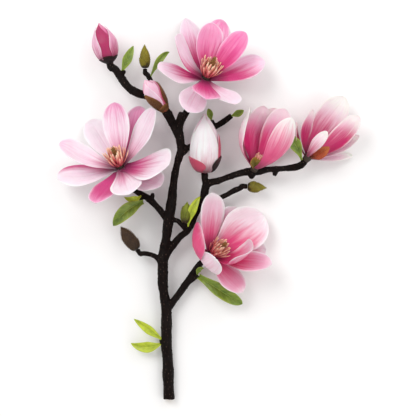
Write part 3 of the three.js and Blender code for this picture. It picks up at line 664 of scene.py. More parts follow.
tipBloom = {
    "base": (120, 62, 27), "heading": 50, "tilt": 66, "slot": "pink_tepal",
    "tepals": [
        (1, (44, 71, -6), 41, 28, 4, 0.05, {"reach": -0.02}),
        (1, (56, 4, -26.5), 17, 14, 16, 0.1, {"reach": -0.4}),
        (1, (-14, 40, 12), 18, 26, 12, 0.35, {"reach": 0.2}),
        (1, (61, 26, -8), 20, 22, 8, 0.1, {"reach": -0.25}),
        (0, (59, 47, 8), 30, 26, 6, 0.3, {"slant": -0.2, "reach": 0.12}),
        (0, (5, 55, 5), 28, 26, 4, 0.5, {"reach": 0.05}),
        (0, (20, 28, 25), 15, 24, 4, 0.0, {"reach": -0.2}),
    ],
    "colors": {"pale": "ecd6de", "deep": "ee74b2", "base": "b81660", "margin": "f0eee6", "back": "d29096"},
    "look": {"baseReach": 0.40, "marginWidth": 0.44, "tipStart": 0.42, "veinStrength": 0.24},
    "stamens": {"count": 20, "size": 0.76, "lean": 26}, "pistil": {"height": 22, "count": 24},
}
blooms = {"left_bloom": leftBloom, "top_bloom": topBloom, "low_bloom": lowBloom, "cup_bloom": cupBloom,
          "tip_bloom": tipBloom}

# the end of the stalk, which the tepals grow from
receptacle = {"radius": 5.2, "colors": ("1c110b", "3e2f1b"),
              "profile": [(0.8, -6), (0.9, -4), (1.0, -1), (0.97, 1), (0.93, 2.2), (0.78, 3.3), (0.55, 4),
                          (0.3, 4.1)]}
stalkEnd = spottedSkin("stalkEnd", hexColors(receptacle["colors"]), 900.0, 3.0, contrast=(0.35, 0.7),
                       relief=(0.4, 0.3), roughness=0.6)

for node, bloom in blooms.items():
    axes = axesOf(bloom)
    profile = [(receptacle["radius"] * r, h) for r, h in receptacle["profile"]]
    shells = [dict(turnedShell(axes, profile), slot=1)]
    for k, row in enumerate(bloom["tepals"]):
        tepal = dict(zip(tepalFields, row))
        tepal |= tepal.pop("own")
        marks = {key: tepal.get(key, 0.0) for key in tepalMarks}
        middle = tepalSheet(axes, tepal, k + 1)
        shells.append(sheetShell(middle, tepalForm["thickness"], seed=(k * 0.37) % 1, **marks))
    skins = [tepalSkin(node + "Skin", bloom["colors"], bloom["look"]), stalkEnd]
    addPiece(makeMesh(node, shells, skins), node + "_tepals", node + "Tepals")
print("tepals made")


# the centres of the blooms: stamens and carpels stand in golden-angle spirals round the bloom's axis

def buildSpiral():
    numbers = ("First Radius", "Last Radius", "First Height", "Last Height", "First Lean", "Last Lean",
               "Size", "Unevenness")
    inputs = {"Count": "Int", "Seed": "Int", "Skin": "Material"} | dict.fromkeys(numbers, "Float")
    tree, given, out = newShaping("goldenSpiral", inputs)
    index = newValue(tree, "GeometryNodeInputIndex")
    share = index / given["Count"]
    goldenAngle = math.pi * (3 - math.sqrt(5))
    turn = index * goldenAngle

    def between(what):
        values = {"Value": share, "To Min": given["First " + what], "To Max": given["Last " + what]}
        return newValue(tree, "ShaderNodeMapRange", values, "Result")

    def jitter(offset):
        return randomOf(tree, given["Unevenness"] * -1.0, given["Unevenness"], given["Seed"] + offset)

    radius = between("Radius")
    place = vectorOf(radius * calc("COSINE", turn), radius * calc("SINE", turn), between("Height"))
    points = newValue(tree, "GeometryNodePoints", {"Count": given["Count"], "Position": place})
    euler = vectorOf(jitter(2.0), between("Lean") + jitter(1.0), turn + jitter(3.0))
    rotation = newValue(tree, "FunctionNodeEulerToRotation", {"Euler": euler})
    placed = copiesOn(points, given["Geometry"], rotation, given["Size"] * (jitter(4.0) + 1.0))
    own = newValue(tree, "FunctionNodeRandomValue", {"Seed": 9}, 1, data_type="FLOAT")
    values = {"Geometry": placed, "Name": "ownTone", "Value": own}
    marked = newValue(tree, "GeometryNodeStoreNamedAttribute", values, domain="INSTANCE", data_type="FLOAT")
    put(out["Geometry"], painted(marked, given["Skin"]))
    return tree


goldenSpiral = buildSpiral()

# radii, heights and the foot's profile are in millimetres from the foot of the bloom; colours go from root
# to tip, each fading into the next over its step
stamen = {"length": 18.0, "width": 2.9, "thickness": 0.8, "curl": 4.6, "rows": 9, "lastLean": 0.42,
          "radii": (5.0, 3.5), "heights": (4.2, 7.4), "unevenness": 0.09,
          "foot": [(3.4, 4.15), (5.0, 4.2), (5.2, 5.2), (4.6, 7.4), (3.4, 7.6)],
          "colors": ("8c1030", "d04a5c", "ea9488", "f7d1b2"),
          "steps": [(0.02, 0.3), (0.25, 0.62), (0.58, 0.95)]}
# a pistil's body has a fixed foot, and above it heights that are shares of its own height
carpel = {"length": 5.6, "bulge": 1.5, "style": 0.42, "hook": 3.0, "rows": 9, "size": 0.8,
          "leans": (0.9, 0.1), "radii": (2.9, 0.5), "firstShare": 0.34, "topGap": 4.5, "unevenness": 0.08,
          "foot": [(2.6, 4.4), (2.75, 6)],
          "body": [(3.0, 0.3), (2.9, 0.42), (2.4, 0.6), (1.6, 0.78), (0.8, 0.9), (0.3, 0.94)],
          "colors": ("5a2e18", "8a6a30", "7c4226", "b87a40"), "steps": [(0.0, 0.3), (0.4, 0.65), (0.8, 1.0)]}
sixRound = np.linspace(0, 2 * math.pi, 6, endpoint=False)


def strapShape():
    # one stamen: a flat strap that curls inward, with a short point; it stands on +Z and leans towards +X
    s = np.linspace(0, 1, stamen["rows"])[:, None]
    half = stamen["width"] / 2 * (0.42 + 0.58 * smooth(s, 0, 0.45)) * (1 - smooth(s, 0.86, 1.04) * 0.8)
    depth = stamen["thickness"] / 2 * (1 - 0.5 * s)
    x = -stamen["curl"] * s ** 2.2 + depth * np.cos(sixRound)
    rings = np.stack([x, half * np.sin(sixRound), stamen["length"] * s + 0 * sixRound], -1)
    return makeMesh("stamen", [tubeShell(rings)], [])


def carpelShape():
    # one carpel: a small swollen body with a style that hooks outward
    s = np.linspace(0, 1, carpel["rows"])[:, None]
    body = carpel["bulge"] * np.sin(np.pi * np.clip(s / 0.62, 0, 1)) ** 0.8
    radius = np.maximum(body * (s < 0.6), carpel["style"] * (1.15 - 0.6 * s))
    out = carpel["hook"] * smooth(s, 0.5, 1.15) ** 1.2
    up = carpel["length"] * (s - 0.22 * smooth(s, 0.7, 1.0))
    rings = np.stack([out + radius * np.cos(sixRound), radius * np.sin(sixRound), up + 0 * sixRound], -1)
    return makeMesh("carpel", [tubeShell(rings)], [])


def stamenSkin():
    material, tree, shader = newMaterial("stamenSkin", 0.55, Subsurface_Weight=0.15,
                                         Subsurface_Scale=0.8 * mm)
    across, along = bladeOf(tree)
    grain = noiseOf(placeOf(tree), 1500.0, 3.0)
    height = (markOf(tree, "ownTone") - 0.5) * 0.35 + along + (grain - 0.5) * 0.25
    shades = hexColors(stamen["colors"])
    color = rampOf(height, shades, stamen["steps"])
    # pollen lies in a pale line along both edges
    pollen = fade(abs(across), 0.55, 0.1) * fade(along, 0.2, 0.45)
    addCoat(shader, mixColor(pollen * 0.45, color, shades[-1]), grain, (0.5, 0.25))
    return material


def carpelSkin():
    material, tree, shader = newMaterial("carpelSkin", 0.5, Subsurface_Weight=0.1, Subsurface_Scale=0.6 * mm)
    along = bladeOf(tree)[1]
    grain = noiseOf(placeOf(tree), 1200.0, 3.0)
    color = rampOf((grain - 0.5) * 0.3 + along, hexColors(carpel["colors"]), carpel["steps"])
    addCoat(shader, color, grain, (0.4, 0.2))
    return material


stamenFinish, carpelFinish = stamenSkin(), carpelSkin()
upright = dict(zip(("e1", "e2", "w"), np.eye(3)), o=np.zeros(3))


def spiralMesh(shape, kit, skin, count, size, heights, leans, seed):
    # copies of a shape round an upright axis, from the foot of the bloom up
    return runTree(shape, goldenSpiral, {
        "Count": count, "First Radius": kit["radii"][0] * mm, "Last Radius": kit["radii"][1] * mm,
        "First Height": heights[0] * mm, "Last Height": heights[1] * mm, "First Lean": leans[0],
        "Last Lean": leans[1], "Size": size, "Unevenness": kit["unevenness"], "Seed": seed, "Skin": skin})


def centreMesh(name, spiral, profile, sides, skin, axes):
    # a spiral and the turned body inside it as one mesh in one skin, turned to stand along the bloom's axis
    body = makeMesh(name + "Body", [turnedShell(upright, profile, sides)], [skin])
    whole = bmesh.new()
    whole.from_mesh(spiral)
    whole.from_mesh(body)
    for face in whole.faces:
        face.material_index = 0
    mesh = bpy.data.meshes.new(name)
    whole.to_mesh(mesh)
    whole.free()
    mesh.materials.append(skin)
    turn = Matrix(np.stack([axes["e1"], axes["e2"], axes["w"]], 1).tolist()).to_4x4()
    mesh.transform(Matrix.Translation(Vector(axes["o"] * mm)) @ turn)
    mesh.update()
    return mesh


for number, (node, bloom) in enumerate(blooms.items()):
    axes = axesOf(bloom)
    ring = bloom["stamens"]
    lean = math.radians(ring["lean"])
    whorl = spiralMesh(strapShape(), stamen, stamenFinish, ring["count"], ring["size"], stamen["heights"],
                       (lean, lean * stamen["lastLean"]), 11 + number)
    stamens = centreMesh("stamens", whorl, stamen["foot"], 40, stamenFinish, axes)
    addPiece(stamens, node + "_stamens")

    tall = bloom["pistil"]["height"]
    heights = (tall * carpel["firstShare"], tall - carpel["topGap"])
    spiral = spiralMesh(carpelShape(), carpel, carpelFinish, bloom["pistil"]["count"], carpel["size"],
                        heights, carpel["leans"], 31 + number)
    profile = carpel["foot"] + [(r, tall * share) for r, share in carpel["body"]]
    pistil = centreMesh("pistil", spiral, profile, 24, carpelFinish, axes)
    addPiece(pistil, node + "_pistil")
print("stamens and pistils made")


# buds: a closed heart with tepals or scales wrapped round it
# each wrap has its azimuth, half angle, share of the length, lift off the heart, tone and extra flush, and
# some turn round the bud on their way up

wrapFields = ("azimuth", "halfAngle", "share", "lift", "tone", "reach", "twist")
wrapForm = {"claw": 0.75, "broadest": 0.35, "taper": 1.8, "blunt": 0.8, "thickness": 0.8, "rows": 36,
            "columns": 25, "edgeLift": 0.35, "tipLift": 0.5, "firstSeed": 0.1, "seedStep": 0.29}
scaleForm = dict(wrapForm, thickness=0.9, rows=26, columns=19, edgeLift=0.1, tipLift=0.35, firstSeed=0.2,
                 seedStep=0.31)

flowerBuds = {
    "egg_bud": {
        "base": (-3, 43, 25), "heading": 90, "tilt": 80, "length": 70, "width": 34, "plump": 0.32,
        "foot": 0.24, "taper": 2.5, "tipWidth": 0.12, "slot": "pale_tepal",
        "wraps": [(232, 80, 0.97, 0.3, 0.3, 0.1), (60, 80, 0.97, 0.3, 0.2, 0.0),
                  (172, 68, 1.0, 1.1, 0.0, -0.1), (262, 26, 0.68, 1.9, 0.8, 0.6, -4),
                  (108, 78, 0.30, 2.0, 0.6, 0.55, 6)],
        "scales": [(266, 50, 0.30, 2.5, 0, 0, -8)], "skin": ("0a0403", "1c0d0a", "4a1c22", "120806"),
        "colors": {"pale": "ece6e8", "deep": "e8b0c8", "base": "b41246", "margin": "f1efed", "back": "e4b4c8"},
        "look": {"baseReach": 0.20, "marginWidth": 0.5, "tipStart": 0.74, "veinStrength": 0.12},
    },
    "left_bud": {
        "base": (-116.3, 174.8, 28), "heading": 105, "tilt": 84, "length": 47, "width": 28, "plump": 0.46,
        "foot": 0.26, "taper": 1.5, "tipWidth": 0.05, "slot": "magenta_tepal",
        "wraps": [(165, 70, 0.98, 0.3, 1.0, 0.5), (105, 58, 0.92, 1.0, 0.1, -0.05),
                  (262, 62, 0.9, 1.0, 0.35, 0.0)],
        "colors": {"pale": "eebfd3", "deep": "d65c98", "base": "a21452", "margin": "f2d6e2", "back": "cb4383"},
        "look": {"baseReach": 0.24, "marginWidth": 0.4, "tipStart": 0.79, "veinStrength": 0.3},
    },
    "small_bud": {
        "base": (-50, 117, 35), "heading": 125, "tilt": 66, "length": 44, "width": 20, "plump": 0.66,
        "foot": 0.20, "taper": 1.9, "tipWidth": 0.08, "slot": "pink_tepal",
        "wraps": [(205, 64, 0.98, 0.4, 0.4, 0.0), (150, 50, 0.95, 0.9, 0.15, 0.0),
                  (250, 50, 0.93, 0.9, 0.8, 0.25)],
        "colors": {"pale": "f0cedd", "deep": "e07aa4", "base": "b8305e", "margin": "f6e6ec", "back": "e48cb0"},
        "look": {"baseReach": 0.2, "marginWidth": 0.4, "tipStart": 0.79, "veinStrength": 0.25},
    },
}


def budRadius(bud, s):
    low = np.sqrt(1 - np.clip(1 - s / bud["plump"], 0, 1) ** 2)
    high = 1 - np.clip((s - bud["plump"]) / (1 - bud["plump"]), 0, 1) ** bud["taper"]
    share = (bud["foot"] + (1 - bud["foot"]) * low) * high
    return bud["width"] / 2 * np.maximum(share, bud["tipWidth"] * 0.6)


def wrapSheet(axes, bud, wrap, form, order):
    s = np.linspace(0, 1, form["rows"])[:, None]
    t = acrossBlade(form["columns"])
    phase = order * 1.9
    sway = 3.0 * np.sin(np.pi * s + phase)
    spread = t * wrap["halfAngle"] * outline(s, form)
    turn = np.radians(wrap["azimuth"] + sway + wrap.get("twist", 0) * s + spread)
    at = 0.02 + s * (wrap["share"] - 0.02)
    lift = wrap["lift"] * smooth(at, -0.15, 0.3) + form["edgeLift"] * np.abs(t) ** 4
    lift = lift + form["tipLift"] * smooth(s, 0.8, 1.0)
    radius = budRadius(bud, at) + lift + 0.12 * np.sin(5 * s + 4 * t + phase)
    middle = axes["o"] + axes["w"] * (at * bud["length"])[..., None]
    return middle + radialOf(axes, turn) * radius[..., None]


def wrapShells(axes, bud, wraps, form):
    shells = []
    for k, row in enumerate(wraps):
        wrap = dict(zip(wrapFields, row))
        middle = wrapSheet(axes, bud, wrap, form, k + 1)
        marks = {"tone": wrap["tone"], "reach": wrap["reach"]}
        marks["seed"] = (form["firstSeed"] + k * form["seedStep"]) % 1
        shells.append(sheetShell(middle, form["thickness"], **marks))
    return shells


def heartShell(axes, bud, rows=26, sides=36, **marks):
    s = np.concatenate([[0.0], 1 - np.cos(np.linspace(0.12, math.pi / 2, rows))])
    return turnedShell(axes, np.stack([budRadius(bud, s), s * bud["length"]], -1), sides, **marks)


# silky hairs that lie towards the tips of bud scales and leaf buds

def buildHairs():
    tree, given, out = newShaping("silkyHairs", {
        "Density": "Float", "Length": "Float", "Width": "Float", "Lie": "Vector", "Flatness": "Float",
        "Seed": "Int", "Hair Skin": "Material"})
    seed = given["Seed"]
    spread = addNode(tree, "GeometryNodeDistributePointsOnFaces", {
        "Mesh": given["Geometry"], "Density": given["Density"], "Seed": seed})
    points, normal = (nodeValue(spread.outputs[key]) for key in ("Points", "Normal"))
    hair = newValue(tree, "GeometryNodeMeshCone", {
        "Vertices": 3, "Side Segments": 2, "Radius Top": 0.01 * mm, "Radius Bottom": given["Width"],
        "Depth": given["Length"]}, "Mesh")
    most = 0.35
    jitter = newValue(tree, "FunctionNodeRandomValue", {0: (-most,) * 3, 1: (most,) * 3, "Seed": seed},
                      data_type="FLOAT_VECTOR")
    way = summed(summed(normal, scaledBy(given["Lie"], given["Flatness"])), jitter)
    hairs = copiesOn(points, hair, alignedTo(way), randomOf(tree, 0.6, 1.15, seed))
    put(out["Geometry"], joined(painted(hairs, given["Hair Skin"]), given["Geometry"]))
    return tree


silkyHairs = buildHairs()

# how many hairs a square metre has, their length and width in millimetres, how closely they lie along the
# bud, and how dark their darker spots are
hairForm = {"count": 2.2e6, "length": 1.6, "width": 0.05, "flatness": 1.6, "shade": 0.6}


def addHairs(mesh, part, axes, seed):
    code, length, density = part["hair"]
    colors = [hexColor(code, hairForm["shade"]), hexColor(code)]
    skin = spottedSkin(mesh.name + "Hair", colors, 500.0, roughness=0.45, Specular_IOR_Level=0.3)
    return runTree(mesh, silkyHairs, {
        "Density": hairForm["count"] * density, "Length": hairForm["length"] * length * mm,
        "Width": hairForm["width"] * mm, "Lie": tuple(axes["w"]), "Flatness": hairForm["flatness"],
        "Seed": seed, "Hair Skin": skin})


def buildScaleTint():
    tree, given, out = newTint("scaleTint", ("root", "body", "tip", "rim"))
    across, along = bladeOf(tree)
    grain = noiseOf(vectorOf(across * 16.0, along * 2.5, markOf(tree, "seed") * 17.0), 1.6, 4.0, 0.65)
    patch = noiseOf(placeOf(tree), 220.0, 3.0)
    color = rampOf((patch - 0.5) * 0.5 + along, [given[key] for key in ("root", "body", "tip")],
                   [(0.05, 0.4), (0.5, 1.0)])
    rim = fade(patch * 0.2 + abs(across), 0.85, 1.12)
    color = mixColor(rim * 0.8, color, given["rim"])
    put(out["Color"], shaded(color, fade(grain, 0.3, 0.75, 0.72, 1.12)))
    put(out["Height"], grain + patch * 0.5)
    put(out["Roughness"], grain * 0.3 + 0.45)
    return tree


scaleTint = buildScaleTint()


def scaleSkin(name, codes):
    values = dict(zip(("root", "body", "tip", "rim"), codes))
    return tintedSkin(name, scaleTint, values, (0.6, 0.3), Specular_IOR_Level=0.3)


# a leaf bud has overlapping scales over all its length, coloured at the root, body, tip and rim; its hairs
# have a colour, and a length and a density as shares of the usual ones
leafBuds = {
    "upper_leaf_bud": {
        "base": (-73.9, 167.1, 27), "heading": 91, "tilt": 84, "length": 28, "width": 11, "plump": 0.4,
        "foot": 0.3, "taper": 1.7, "tipWidth": 0.05, "slot": "olive_bud",
        "wraps": [(150, 95, 0.97, 0.0, 0, 0), (220, 80, 0.8, 0.4, 0, 0), (120, 75, 0.45, 0.8, 0, 0)],
        "skin": ("1e1406", "7a6e14", "8f8420", "4a3c10"), "hair": ("a39848", 0.8, 0.5)},
    "brown_leaf_bud": {
        "base": (-84, -48.5, 17), "heading": 125.5, "tilt": 86, "length": 33, "width": 14, "plump": 0.45,
        "foot": 0.3, "taper": 2.2, "tipWidth": 0.1, "slot": "brown_scale",
        "wraps": [(170, 100, 0.97, 0.0, 0, 0), (130, 85, 0.72, 0.5, 0, 0), (215, 75, 0.4, 1.0, 0, 0)],
        "skin": ("120b05", "33241a", "4a3626", "1c120a"), "hair": ("6a5038", 1.3, 1.2)},
    "right_leaf_bud": {
        "base": (48.1, 26.6, 19), "heading": -4, "tilt": 86, "length": 23, "width": 11.5, "plump": 0.38,
        "foot": 0.3, "taper": 1.6, "tipWidth": 0.05, "slot": "olive_bud",
        "wraps": [(170, 95, 0.97, 0.0, 0, 0), (220, 80, 0.7, 0.5, 0, 0), (130, 70, 0.42, 0.9, 0, 0)],
        "skin": ("2c1e08", "6e6416", "827a22", "3c2e10"), "hair": ("9c9144", 0.8, 0.6)},
    "middle_leaf_bud": {
        "base": (-26.5, -17, 27), "heading": 84, "tilt": 80, "length": 26, "width": 11, "plump": 0.45,
        "foot": 0.3, "taper": 1.9, "tipWidth": 0.08, "slot": "olive_bud",
        "wraps": [(150, 90, 0.95, 0.0, 0, 0), (240, 60, 0.9, 0.5, 0, 0), (95, 55, 0.8, 0.5, 0, 0)],
        "skin": ("2e1a10", "6c741e", "8a962c", "3a1f18"), "hair": ("a09c54", 0.8, 0.45)},
}

# the scales that still hold the foot of two flower buds, on a short ring of bark
budScales = {
    "left_bud_scales": {
        "bud": "left_bud", "skin": ("0a0403", "160807", "3c1014", "0c0504"), "hair": ("2c1c14", 0.6, 0.6),
        "wraps": [(170, 80, 0.13, 1.2, 0, 0), (100, 62, 0.10, 1.6, 0, 0), (245, 66, 0.11, 1.6, 0, 0),
                  (-10, 90, 0.11, 1.2, 0, 0)]},
    "small_bud_scales": {
        "bud": "small_bud", "skin": ("1c0e06", "5e3816", "90602e", "8e3a30"), "hair": ("86602e", 0.8, 0.8),
        "wraps": [(128, 56, 0.70, 1.3, 0, 0), (262, 50, 0.80, 1.3, 0, 0), (-30, 80, 0.6, 1.2, 0, 0),
                  (190, 70, 0.2, 1.7, 0, 0)]},
}
barkCollar = {"top": 0.045, "lift": 1.5, "foot": [(3.6, -2.6), (4.2, -2.5), (4.6, -1.6)]}


def collarShell(axes, bud):
    # a collar of bark that widens from the twig to where the scales leave it
    rim, top = budRadius(bud, barkCollar["top"]) + barkCollar["lift"], barkCollar["top"] * bud["length"]
    lip = [(0.45 * rim + 2.6, 0.0), (rim, top), (rim - 0.5, top + 0.4), (rim - 1.6, top + 0.5)]
    return turnedShell(axes, barkCollar["foot"] + lip, 32)


for node, bud in flowerBuds.items():
    axes = axesOf(bud)
    shells = [heartShell(axes, bud, tone=0.8, reach=0.1, seed=0.3)]
    shells += wrapShells(axes, bud, bud["wraps"], wrapForm)
    skins = [tepalSkin(node + "Skin", bud["colors"], bud["look"])]
    if "scales" in bud:
        shells += [dict(shell, slot=1) for shell in wrapShells(axes, bud, bud["scales"], scaleForm)]
        skins.append(scaleSkin(node + "Scale", bud["skin"]))
    addPiece(makeMesh(node, shells, skins), node)
print("flower buds made")

for number, (node, bud) in enumerate(leafBuds.items()):
    axes = axesOf(bud)
    shells = [heartShell(axes, bud, 18, 24, seed=0.5)] + wrapShells(axes, bud, bud["wraps"], scaleForm)
    mesh = makeMesh(node, shells, [scaleSkin(node + "Skin", bud["skin"])])
    addPiece(addHairs(mesh, bud, axes, 51 + number), node)

for number, (node, scales) in enumerate(budScales.items()):
    bud = flowerBuds[scales["bud"]]
    axes = axesOf(bud)
    shells = [collarShell(axes, bud)] + wrapShells(axes, bud, scales["wraps"], scaleForm)
    mesh = makeMesh(node, shells, [scaleSkin(node + "Skin", scales["skin"])])
    addPiece(addHairs(mesh, scales, axes, 61 + number), node)
print("leaf buds and scales made")


# leaves: a path from root over the middle to the tip, the width, and how much the edge waves; a leaf is
# green unless its kind says something else

leafForm = {"claw": 0.16, "broadest": 0.48, "taper": 1.5, "blunt": 0.85, "thickness": 0.55, "rows": 44,
            "columns": 23, "veins": 7, "veinRise": 0.22, "ruffle": 0.35, "fold": 0.34, "midrib": 0.06}
leaves = {
    "bud_twig_leaf": {"path": [(-68, 156, 26), (-55.8, 176.5, 33), (-45, 186, 29)], "width": 9},
    "upper_leaf": {"path": [(-102, 161, 28), (-94, 178, 33), (-87.6, 193, 31)], "width": 12},
    "tip_leaf": {"path": [(112, 58, 27), (103, 77, 36), (91, 88, 33)], "width": 15},
    "bloom_leaf": {"path": [(-77, 8, 18), (-95, -2, 29), (-112, -20, 25)], "width": 18, "ruffle": 1.2,
                   "claw": 0.3, "taper": 2.2, "blunt": 0.7},
    "small_bloom_leaf": {"path": [(-79, 16, 16), (-88, 11, 24), (-99, 14, 24)], "width": 9, "kind": "young"},
    "low_leaf": {"path": [(-10, -81, 14), (16, -98, 21), (41.5, -114.5, 13)], "width": 17, "ruffle": 1.4,
                 "claw": 0.4, "taper": 2.8, "blunt": 0.6},
    "low_leaflet": {"path": [(-12, -80, 14), (-10, -73, 18), (-4, -71, 18)], "width": 6},
    "young_leaf_upper": {"path": [(-52, -159, 9), (-71, -144, 17), (-88, -132, 15)], "width": 11,
                         "kind": "young"},
    "young_leaf_lower": {"path": [(-53, -161, 8), (-73, -166, 13), (-92, -162, 8)], "width": 14,
                         "kind": "young"},
    "middle_leaf": {"path": [(-23, -21, 27), (-17, 0, 34), (-8.5, 14.5, 33)], "width": 11, "kind": "young"},
    "side_leaf": {"path": [(5, 105, 12), (3, 114, 17), (1, 120, 16)], "width": 8},
    "side_leaf_right": {"path": [(28, 111, 17), (37, 114, 20), (43.5, 118, 18)], "width": 9},
}


def leafSheet(leaf, form):
    form = form | leaf
    root, middle, tip = (np.array(p, float) for p in leaf["path"])
    control = 2 * middle - root / 2 - tip / 2
    s = np.linspace(0, 1, form["rows"])[:, None]
    t = np.linspace(-1, 1, form["columns"])[None, :]
    at = s[..., None]
    line = (1 - at) ** 2 * root + 2 * at * (1 - at) * control + at ** 2 * tip
    along = unit(2 * (1 - at) * (control - root) + 2 * at * (tip - control))
    side = unit(np.cross([0, 0, 1.0], along))
    up = np.cross(along, side)
    half = leaf["width"] / 2 * outline(s, form)
    rise = half * (form["fold"] * np.abs(t) - form["midrib"] * np.exp(-(t / 0.12) ** 2))
    phase = np.where(t > 0, 0.0, 2.0)
    rise = rise + form["ruffle"] * np.abs(t) ** 3 * np.sin(9 * s + phase)
    # side veins curve forward towards the tip, and the blade is quilted between them
    quilt = np.cos(2 * np.pi * form["veins"] * (s - 0.22 * np.abs(t) ** 0.8))
    quilt = quilt * np.sqrt(np.abs(t)) * (1 - np.abs(t) ** 3) * np.sin(np.pi * s)
    rise = rise - form["veinRise"] * quilt * half / 8
    return line + side * (half * t * 0.94)[..., None] + up * rise[..., None]


def buildLeafTint():
    tree, given, out = newTint("leafTint", ("dark", "light", "vein", "rim", "back"), ["veins"])
    across, along = bladeOf(tree)
    side = abs(across)
    patch = noiseOf(placeOf(tree), 130.0, 4.0, 0.6)
    mesh = noiseOf(placeOf(tree), 1100.0, 3.0, 0.6)
    forward = along - side ** 0.8 * 0.22 + (patch - 0.5) * 0.02
    wave = abs(calc("SINE", forward * given["veins"] * math.pi))
    vein = fadeOut(wave, 0.0, 0.22) * fade(side, 0.7, 1.0, 1.0, 0.15) * 0.7
    vein = calc("MAXIMUM", vein, fadeOut(side * (along * 1.2 + 1.0), 0.02, 0.11))
    color = mixColor(fade(side * 0.35 + (patch - 0.5) * 1.2 + 0.2, 0.0, 0.8), given["dark"], given["light"])
    color = mixColor(vein * 0.7, color, given["vein"])
    color = mixColor(fade(patch * 0.12 + side, 0.88, 1.08), color, given["rim"])
    back = mixColor(vein * 0.6, given["back"], given["vein"])
    color = mixColor(markOf(tree, "inner"), back, color)
    put(out["Color"], shaded(color, mesh * 0.22 + 0.89))
    put(out["Height"], mesh * 0.5 - vein * 0.8)
    put(out["Roughness"], mesh * 0.2 + 0.32)
    return tree


leafTint = buildLeafTint()
leafColors = {
    "green": {"dark": "506812", "light": "84992c", "vein": "a9b65c", "rim": "a4b04c", "back": "84944e"},
    "young": {"dark": "8c9c18", "light": "c4d030", "vein": "dbe064", "rim": "a8b424", "back": "b4c24a"},
}


def leafSkin(kind):
    values = leafColors[kind] | {"veins": float(leafForm["veins"])}
    return tintedSkin(kind + "Leaf", leafTint, values, (0.5, 0.25), Subsurface_Weight=0.12,
                      Subsurface_Scale=1.0 * mm, Subsurface_Radius=(0.5, 1.0, 0.2))


leafSkins = {kind: leafSkin(kind) for kind in leafColors}
for node, leaf in leaves.items():
    kind = leaf.get("kind", "green")
    shell = sheetShell(leafSheet(leaf, leafForm), leafForm["thickness"], rim=0.5)
    addPiece(makeMesh(node, [shell], [leafSkins[kind]]), node)

# a round scale at the foot of the cup bloom, and a long one beside the bloom at the branch's tip
sideScales = {
    "cup_bloom_scale": {"path": [(56, 46, 29), (57, 54, 35), (59.5, 60.5, 34)], "width": 13, "taper": 2.6,
                        "skin": ("2c2a0c", "665a18", "9c7a2c", "c4883c"), "hair": ("cfae6a", 0.5, 0.7)},
    "tip_bloom_scale": {"path": [(121, 61, 30), (132, 65, 37), (144, 73, 36)], "width": 14, "taper": 2.4,
                        "skin": ("5a1a0c", "9c3a16", "c46c3a", "a84c28"), "hair": ("d9a070", 0.6, 0.7)},
}
sideScaleForm = leafForm | {"veinRise": 0.0, "rows": 26, "columns": 17, "ruffle": 0.2, "thickness": 0.8}
for number, (node, scale) in enumerate(sideScales.items()):
    shell = sheetShell(leafSheet(scale, sideScaleForm), sideScaleForm["thickness"], rim=0.5, seed=0.4)
    mesh = makeMesh(node, [shell], [scaleSkin(node + "Skin", scale["skin"])])
    axes = {"w": unit(np.array(scale["path"][2], float) - np.array(scale["path"][0], float))}
    addPiece(addHairs(mesh, scale, axes, 71 + number), node)
print("leaves made")


# the wood: every limb is a line of points, each with the radius of the wood there

